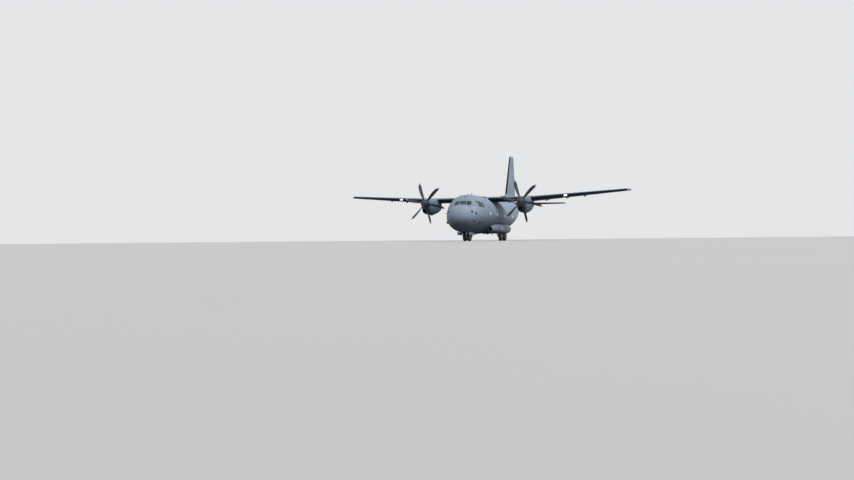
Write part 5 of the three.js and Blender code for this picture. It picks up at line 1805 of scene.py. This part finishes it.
def main_gear(side):
    where = side_name(side)
    wall = BAY["inner"] + GAP
    levers = [box((side * wall, side * (wall + 0.06)), (7.76, 10.1), (0.93, 1.08))]
    oleos, brakes, pipes = [], [], []
    for position, station in MAIN["stations"].items():
        shells, oleo, pipe = main_lever(side, station)
        levers += shells
        oleos.append(oleo)
        pipes.append(pipe)
        brakes += brake(side, station)
        main_wheel(side, position, station)
    dress(levers, "main_levers_" + where, GEAR_WHITE, replaces=["main_gear_legs_" + where],
          bevel=0.003)
    dress(oleos, "main_oleos_" + where, OLEO)
    dress(brakes, "main_brakes_" + where, STEEL)
    dress(pipes, "main_brake_hoses_" + where, HOSE)


def on_leg(x, aft, z):
    """A point from its width, its distance aft of the nose leg and its height."""
    return at(x, STEER_STATION + aft, z)


def nose_leg():
    strut = cut(bar(on_leg(0, 0, LEG_FOOT), on_leg(0, 0, WELL["roof"] - GAP), 0.085, 48),
                bar(on_leg(0, 0, LEG_FOOT - 0.005), on_leg(0, 0, LEG_FOOT + 0.16), 0.058, 40))
    collar = turned([(0.07, 0), (0.1, 0), (0.104, 0.02), (0.104, 0.09), (0.09, 0.1), (0.07, 0.1)], 48,
                    on_leg(0, 0, 0.9), (0, 0, 1))
    brace = bar(on_leg(0, -0.04, 1.08), at(0, WELL["front"] + 0.06, 1.6), 0.038, 28)
    lug = box((-0.06, 0.06), (WELL["front"] + GAP, WELL["front"] + 0.11), (1.53, 1.67))
    jacks = []
    for side in SIDES:
        jacks.append(bar(on_leg(side * 0.13, 0, 0.98), on_leg(side * 0.13, 0.26, 1.02), 0.03, 20, 0.026))
        jacks.append(bar(on_leg(0, 0, 0.98), on_leg(side * 0.14, 0, 0.98), 0.024, 16))
    leg = [union(strut, brace, lug), collar, *jacks]
    dress(leg, "nose_leg_strut", GEAR_WHITE, replaces=["nose_gear_leg"], bevel=0.003)
    runs = ([(0.05, 0.08, 1.6), (0.1, 0.1, 1.35), (0.11, 0.1, 1.1), (0.1, 0.07, 0.98)],
            [(-0.05, 0.08, 1.6), (-0.08, 0.1, 1.3), (-0.07, 0.09, 1.02), (-0.1, 0.06, 0.95)])
    dress([hose([on_leg(*p) for p in run], 0.008) for run in runs], "nose_leg_pipes", HOSE)


def taxi_lamps():
    ahead = (0, -1, 0)
    shell = [(0, 0), (0.05, 0.01), (0.074, 0.05), (0.078, 0.085), (0.07, 0.085), (0.06, 0.05), (0, 0.03)]
    lens = [(0, 0.05), (0.066, 0.07), (0.06, 0.085), (0, 0.096)]
    for side in SIDES:
        mount = bar(on_leg(side * 0.05, -0.05, 1.1), on_leg(side * 0.16, -0.11, 1.1), 0.016, 14)
        dress([turned(shell, 40, on_leg(side * 0.16, -0.09, 1.1), ahead), mount],
              "taxi_lamp_shell_" + side_name(side), GEAR_WHITE)
    lenses = [turned(lens, 40, on_leg(side * 0.16, -0.09, 1.1), ahead) for side in SIDES]
    dress(lenses, "taxi_lamps", WHITE_LAMP)


def link_arm(foot, apex, half_foot, half_apex):
    """A flat forked link that tapers between two pins across the leg."""
    up = (apex - foot).cross(Vector((1, 0, 0))).normalized() * 0.014
    rings, pins = [], []
    for p, half in ((foot, half_foot), (apex, half_apex)):
        rings.append([(p.x + w, *(p + up * rise)[1:]) for w, rise in rectangle(-half, half, -1, 1)])
        reach = Vector((half + 0.015, 0, 0))
        pins.append(bar(p - reach, p + reach, 0.022, 20))
    return union(loft(rings), *pins)


def nose_fork():
    """The steered fork with its axle, the scissor links and the oleo."""

    def on_axle(x):
        return at(x, NOSE["station"], NOSE_AXLE_Z)

    hub_end = NOSE["x"] + NOSE["width"] * 0.3 + GAP
    caps = [bar(on_axle(side * hub_end), on_axle(side * (hub_end + 0.026)), 0.058, 32) for side in SIDES]
    fork = union(bar(on_leg(0, 0, 0.56), on_leg(0, 0, 0.73), 0.062, 32),
                 bar(on_leg(0, 0, 0.62), on_axle(0), 0.05, 28),
                 bar(on_axle(-0.3), on_axle(0.3), NOSE["bore"] - 0.007, 32), *caps)
    apex = on_leg(0, -0.2, 0.75)
    links = [link_arm(on_leg(0, -0.06, 0.6), apex, 0.05, 0.026),
             link_arm(on_leg(0, -0.1, 0.875), apex, 0.05, 0.02)]
    dress([fork, *links], "nose_fork_axle", GEAR_WHITE, "nose_fork", replaces=["nose_gear_fork"])
    oleo = bar(on_leg(0, 0, 0.72), on_leg(0, 0, LEG_FOOT + 0.16 - GAP), 0.054, 40)
    dress(oleo, "nose_oleo", OLEO, "nose_fork")


def nose_wheel(side):
    node, tyre = ("nose_" + part + side_name(side) for part in ("wheel_", "tyre_"))
    wheel(NOSE, side, NOSE["station"], NOSE_AXLE_Z, node, tyre, "nose_wheels")


def nose_door(side):
    """A leaf on two arms, stiffened inside by ribs and held open by rods."""
    where = side_name(side)
    front, back = WELL["front"] + 0.06, WELL["back"] - 0.06
    outline = [(front, 0.84), (back, 0.82), (back - 0.04, 0.56), (front + 0.09, 0.58)]
    plate = (side * 0.54, side * 0.566)
    leaf = crosswise(softened(outline), *plate)
    arms = [box(plate, (s - 0.06, s + 0.06), (0.8, 0.93)) for s in (front + 0.25, back - 0.25)]
    dress(cut(union(leaf, *arms), BODY.solid(1, 4, -GAP)), "nose_door_leaf_" + where, SKIN["pod"],
          replaces=["nose_gear_door_" + where])
    inside = (side * 0.52, side * 0.5405)
    ribs = [box(inside, (s, s + 0.03), (0.6, 0.78)) for s in np.arange(front + 0.2, back - 0.15, 0.28)]
    ribs.append(box(inside, (front + 0.15, back - 0.12), (0.68, 0.705)))
    dress(ribs, "nose_door_ribs_" + where, BAY_PAINT)
    rods = [bar(at(side * 0.53, s, 0.72), at(side * 0.5, s, 0.95), 0.013, 14)
            for s in (front + 0.45, back - 0.45)]
    dress(rods, "nose_door_rods_" + where, STEEL)


# Fittings on the fuselage

HATCHES = (
    # first and last station, lowest and highest edge
    (4.6, 5.5, 2.1, 3.12),
    (13.42, 14.38, 1.66, 3.4),
    (1.12, 1.56, 1.5, 1.98),
    (2.45, 2.95, 1.22, 1.6),
    (6.05, 6.45, 1.75, 2.1),
    (9.0, 9.6, 1.95, 2.25),
    (16.5, 17.2, 3.15, 3.65),
    (18.9, 19.5, 3.6, 3.95),
)
ANTENNAS = (
    # width, station, height, chord, 1 on the roof and -1 on the belly
    (0.0, 4.5, 0.3, 0.3, 1),
    (0.35, 5.55, 0.18, 0.2, 1),
    (0.0, 13.2, 0.3, 0.34, 1),
    (0.0, 14.6, 0.16, 0.2, 1),
    (0.0, 5.3, 0.24, 0.3, -1),
    (0.3, 6.1, 0.13, 0.16, -1),
    (-0.3, 6.6, 0.13, 0.16, -1),
    (0.0, 11.9, 0.22, 0.28, -1),
)
DOMES = (
    # station, radius, height, 1 on the roof and -1 on the belly
    (2.62, 0.1, 0.045, 1),
    (3.5, 0.13, 0.05, 1),
    (12.6, 0.2, 0.08, 1),
    (14.05, 0.13, 0.05, 1),
    (3.9, 0.1, 0.05, -1),
    (10.2, 0.2, 0.09, -1),
)


def outline_strip(form, side, outline, radius):
    """A seam that follows an outline on a flank."""
    stations = [p[0] for p in outline]
    start, end = min(stations) - 0.1, max(stations) + 0.1
    reach = float(form.section((start + end) / 2)["x"])
    inner, outer = side * (reach + 0.12), side * (reach + 2.2)
    edge = crosswise(softened(grown(outline, SEAM), radius), inner, outer)
    middle = crosswise(softened(outline, radius), inner - side, outer + side)
    return cut(common(form.band(start, end, PROUD, 0.01, side), edge), middle)


def hatch_seams():
    strips, handles = [], []
    for side in SIDES:
        for s0, s1, z0, z1 in HATCHES:
            strips.append(outline_strip(BODY, side, rectangle(s0, s1, z0, z1), min(0.12, (s1 - s0) / 5)))
            if s1 - s0 > 0.8:
                foot = 0.55 * z0 + 0.45 * z1
                grip = crosswise(rectangle(s0 + 0.09, s0 + 0.25, foot, foot + 0.045), side * 1, side * 2)
                handles.append(common(BODY.band(s0, s1, 0.006, 0.01), grip))
    dress(strips, "hatch_seams", DARK)
    dress(handles, "hatch_handles", STEEL)


def dome(centre, out, radius, height):
    """A rounded cap on a short neck that stands out of a surface."""
    profile = [(0, -0.05), (radius, -0.05), (radius, 0.0)]
    profile += [(radius * math.cos(t), height * math.sin(t)) for t in np.linspace(0, math.pi / 2, 10)[1:-1]]
    profile.append((0, height))
    return turned(profile, 40, centre, out)


def nose_probes(side):
    """Pitot probes, each on a stem from a round plate."""
    plates, tubes = [], []
    for s, z in ((1.02, 2.68), (1.42, 2.55), (1.14, 1.84)):
        foot, out = BODY.spot(side, s, z, -0.01)
        elbow = foot + out * 0.13
        plates.append(turned([(0, 0), (0.125, 0), (0.121, 0.018), (0, 0.021)], 36, foot, out))
        plates.append(bar(foot, elbow, 0.028, 20, 0.018))
        tubes.append(bar(elbow + Vector((0, 0.03, 0)), elbow - Vector((0, 0.2, 0)), 0.019, 20, 0.012))
    return plates, tubes


def nose_domes(side):
    made = []
    for s, z, radius in ((2.86, 1.8, 0.11), (3.1, 2.86, 0.05), (0.98, 1.5, 0.045)):
        foot, out = BODY.spot(side, s, z, -0.01)
        made.append(dome(foot + out * 0.008, out, radius, radius * 0.3))
    return made


def warning_sensor(side):
    """A ball that looks out of the lower flank, with its lens and its collar."""
    neck, ball = at(side * 1.38, 2.0, 1.79), at(side * 1.535, 2.0, 1.74)
    out = ball - neck
    r, neck_end = 0.12, 0.155
    turns = np.linspace(0, 1.57, 12)[1:-1]
    head = [(r, 0), (r, neck_end), *((r * math.cos(t), neck_end + r * math.sin(t)) for t in turns)]
    lens = dome(ball + out.normalized() * 0.105, out, 0.05, 0.02)
    dress(lens, "sensor_lens_" + side_name(side), PANE)
    collar = turned([(0.124, 0.06), (0.15, 0.06), (0.146, 0.1), (0.124, 0.105)], 48, neck, out)
    dress(collar, "sensor_collar_" + side_name(side), TRIM)
    return turned([(0, 0), *head, (0, 0.275)], 48, neck, out)


def nose_sensors():
    dark, probes = [], []
    for side in SIDES:
        plates, tubes = nose_probes(side)
        dark += [*plates, *nose_domes(side), warning_sensor(side)]
        probes += tubes
    dress(dark, "nose_sensors", BLACK)
    dress(probes, "pitot_probes", STEEL)


def antennas():
    blades = []
    for x, s, height, chord, up in ANTENNAS:
        z = BODY.crest(x, s, up) - up * 0.02
        rings = []
        for share in (0, 0.5, 0.9, 0.98, 1.0):
            front, back = s + chord * 0.45 * share, s + chord * (1 + 0.1 * share)
            flat = fin_section(front, back, 0.022 - 0.0132 * share)
            rings.append([(x + w, y_of(place), z + up * height * share) for w, place in flat])
        foot = box((x - 0.045, x + 0.045), (s - 0.03, s + chord + 0.04), (z - up * 0.03, z + up * 0.026))
        blades += [loft(rings), foot]
    dress(blades, "blade_antennas", TRIM, bevel=0.003)
    domes = [dome(at(0, s, BODY.crest(0, s, up) - up * 0.01), (0, 0, up), r, h) for s, r, h, up in DOMES]
    dress(domes, "domed_antennas", BLACK)


def beacons():
    """Red lights above, below and on the fin, and the tail's white light."""
    top = dome(at(0, 11.2, 4.33), (0, 0, 1), 0.07, 0.12)
    low = dome(at(0, 8.8, BODY.crest(0, 8.8, -1) + 0.02), (0, 0, -1), 0.07, 0.11)
    dress([top, low], "beacons", RED)
    dress(dome(at(0, 20.75, 9.63), (0, 0, 1), 0.035, 0.01), "fin_beacon", RED)
    tail = turned([(0, -0.02), (0.05, -0.02), (0.05, 0.03), (0.035, 0.06), (0, 0.07)], 32,
                  at(0, 21.94, 3.92), (0, 1, 0))
    dress(tail, "tail_light", TAIL_LENS)


def tip_light(side):
    """A red or green cover over the wing tip's leading edge."""
    front = wing_at(14.12)["front"]
    lens = common(outer_wing(side), box((side * 14.08, side * 14.28), (front, front + 0.26), (4.4, 5.1)))
    swell = lens.modifiers.new("swell", "DISPLACE")
    swell.strength = 0.006
    swell.mid_level = 0.0
    dress(lens, "tip_light_" + side_name(side), RED if side > 0 else GREEN)


def crew_door_fittings():
    rails = []
    for s in (CREW_DOOR["front"] + 0.12, CREW_DOOR["back"] - 0.12):
        run = [BODY.on(1, s, z, -deep) for z, deep in ((1.66, 0.115), (2.3, 0.15), (2.85, 0.115))]
        rails += [bar(a, b, 0.012, 14) for a, b in zip(run, run[1:])]
    dress(rails, "crew_door_rails", STEEL, "crew_door")
    place = rectangle(CREW_DOOR["back"] - 0.26, CREW_DOOR["back"] - 0.1, 2.26, 2.31)
    # The dark plate round the handle is painted shade for its recess.
    for name, material, out, outline in (("recess_shade", DARK, 0.0015, softened(grown(place, 0.03), 0.03)),
                                         ("handle", STEEL, 0.008, place)):
        made = common(BODY.band(3.3, 4.2, out, 0.012), crosswise(outline, 1, 2))
        dress(made, "crew_door_" + name, material, "crew_door")


def hold_frame(station):
    """A ring frame on the hold's wall."""
    inside = BODY.solid(station - 0.01, station + 0.06, WALL + 0.055)
    return cut(BODY.solid(station, station + 0.05, WALL), inside)


def hold_frames():
    """Ring frames inside the hold, clear of the floor, the wing, the ramp and the cargo door."""
    frames = []
    for s in np.arange(5.3, 12.3, 0.52):
        frames.append(cut(hold_frame(s), centre_wing(0.001), box((-2, 2), (s - 1, s + 1), (0.3, FLOOR_TOP))))
    ramp_half = RAMP["half"] + 0.09
    for s in np.arange(12.7, 19.2, 0.52):
        frames.append(cut(hold_frame(s), belly_block(12.3, RAMP["back"] + 0.09, ramp_half, ramp_half),
                          belly_block(RAMP["back"], DOOR["back"] + 0.2, DOOR["half_front"] + 0.12,
                                      DOOR["half_back"] + 0.12)))
    dress(frames, "hold_frames", BAY_PAINT)


def floor_fittings():
    """Rails and roller conveyors along the hold's floor."""
    rails = [box((x - 0.04, x + 0.04), (5.0, 12.35), (FLOOR_TOP + 0.0005, FLOOR_TOP + 0.022))
             for x in (-0.95, -0.45, 0.45, 0.95)]
    rollers = [bar(at(x, s, FLOOR_TOP + 0.02), at(x + 0.3, s, FLOOR_TOP + 0.02), 0.02, 16)
               for x in (-0.85, 0.55) for s in np.arange(5.3, 12.3, 0.45)]
    dress(rails, "floor_rails", STEEL, bevel=0.004)
    dress(rollers, "floor_rollers", ALLOY)


# Studio

def studio():
    far = 400
    ground = solid([(x, y, 0) for x, y in rectangle(-far, far, -far, far)], [(0, 1, 2, 3)], "floor")
    pale = Finish("pale_floor", (0.4, 0.4, 0.4), 0.85)
    pale.set(("Base Color", pale.mix(pale.noise(0.4, 3), (0.395, 0.395, 0.39), (0.415, 0.415, 0.41))))
    ground.data.materials.append(pale.material)
    world = bpy.data.worlds.new("studio")
    world.use_nodes = True
    sky = world.node_tree.nodes["Background"].inputs
    sky["Color"].default_value = (0.78, 0.79, 0.805, 1)
    sky["Strength"].default_value = 1.0
    bpy.context.scene.world = world
    sun = bpy.data.lights.new("soft_key", "SUN")
    sun.energy = 2.3
    sun.angle = math.radians(60)
    key = bpy.data.objects.new("soft_key", sun)
    key.rotation_euler = (math.radians(2), math.radians(38), 0)
    bpy.context.scene.collection.objects.link(key)
    bpy.context.scene.view_settings.view_transform = "Standard"


def camera():
    """A long lens at floor level, 15 degrees to port of the nose."""
    distance, azimuth, yaw, roll = 80.0, 15.1, 4.7, -0.53
    made = bpy.data.cameras.new("camera")
    made.lens = 32.5
    made.sensor_width = 36
    made.clip_end = 2000
    view = bpy.data.objects.new("camera", made)
    side = math.radians(azimuth)
    place = Matrix.Translation((distance * math.sin(side), -distance * math.cos(side), 0.15))
    turn = Matrix.Rotation(math.radians(azimuth + yaw), 4, "Z") @ Matrix.Rotation(math.pi / 2, 4, "X")
    view.matrix_world = place @ turn @ Matrix.Rotation(math.radians(roll), 4, "Z")
    bpy.context.scene.collection.objects.link(view)
    bpy.context.scene.camera = view


ONCE = (
    camera, studio, kept_nodes,
    radome, forward_fuselage, window_frames, portholes, crew_door, crew_door_steps, crew_door_fittings,
    centre_fuselage, rear_fuselage, cargo_ramp, hatch_seams, nose_sensors, antennas, beacons,
    hold_frames, floor_fittings, displays, glare_shield, control_columns, power_levers, overhead_panel,
    wing_fairing, wings, fin_and_rudder, rudder_wicks, rudder_tab_seam,
    nose_leg, taxi_lamps, nose_fork,
)
FOR_EACH_SIDE = (
    wiper, landing_lamp, tip_light, track_fairings, fuel_caps, aileron_wicks, aileron_tab_seam,
    tailplane, elevator_wicks, fin_antenna, rudder_tab_rods,
    nacelle, propeller, gearbox_seal, oil_cooler_duct, exhaust_fittings,
    cowl_louvres, cowl_seams, cowl_latches, drain_pipes,
    sponson, sponson_fittings, dispensers, main_gear, nose_wheel, nose_door, seat_pads,
)
for build in ONCE:
    build()
for build in FOR_EACH_SIDE:
    for side in SIDES:
        build(side)
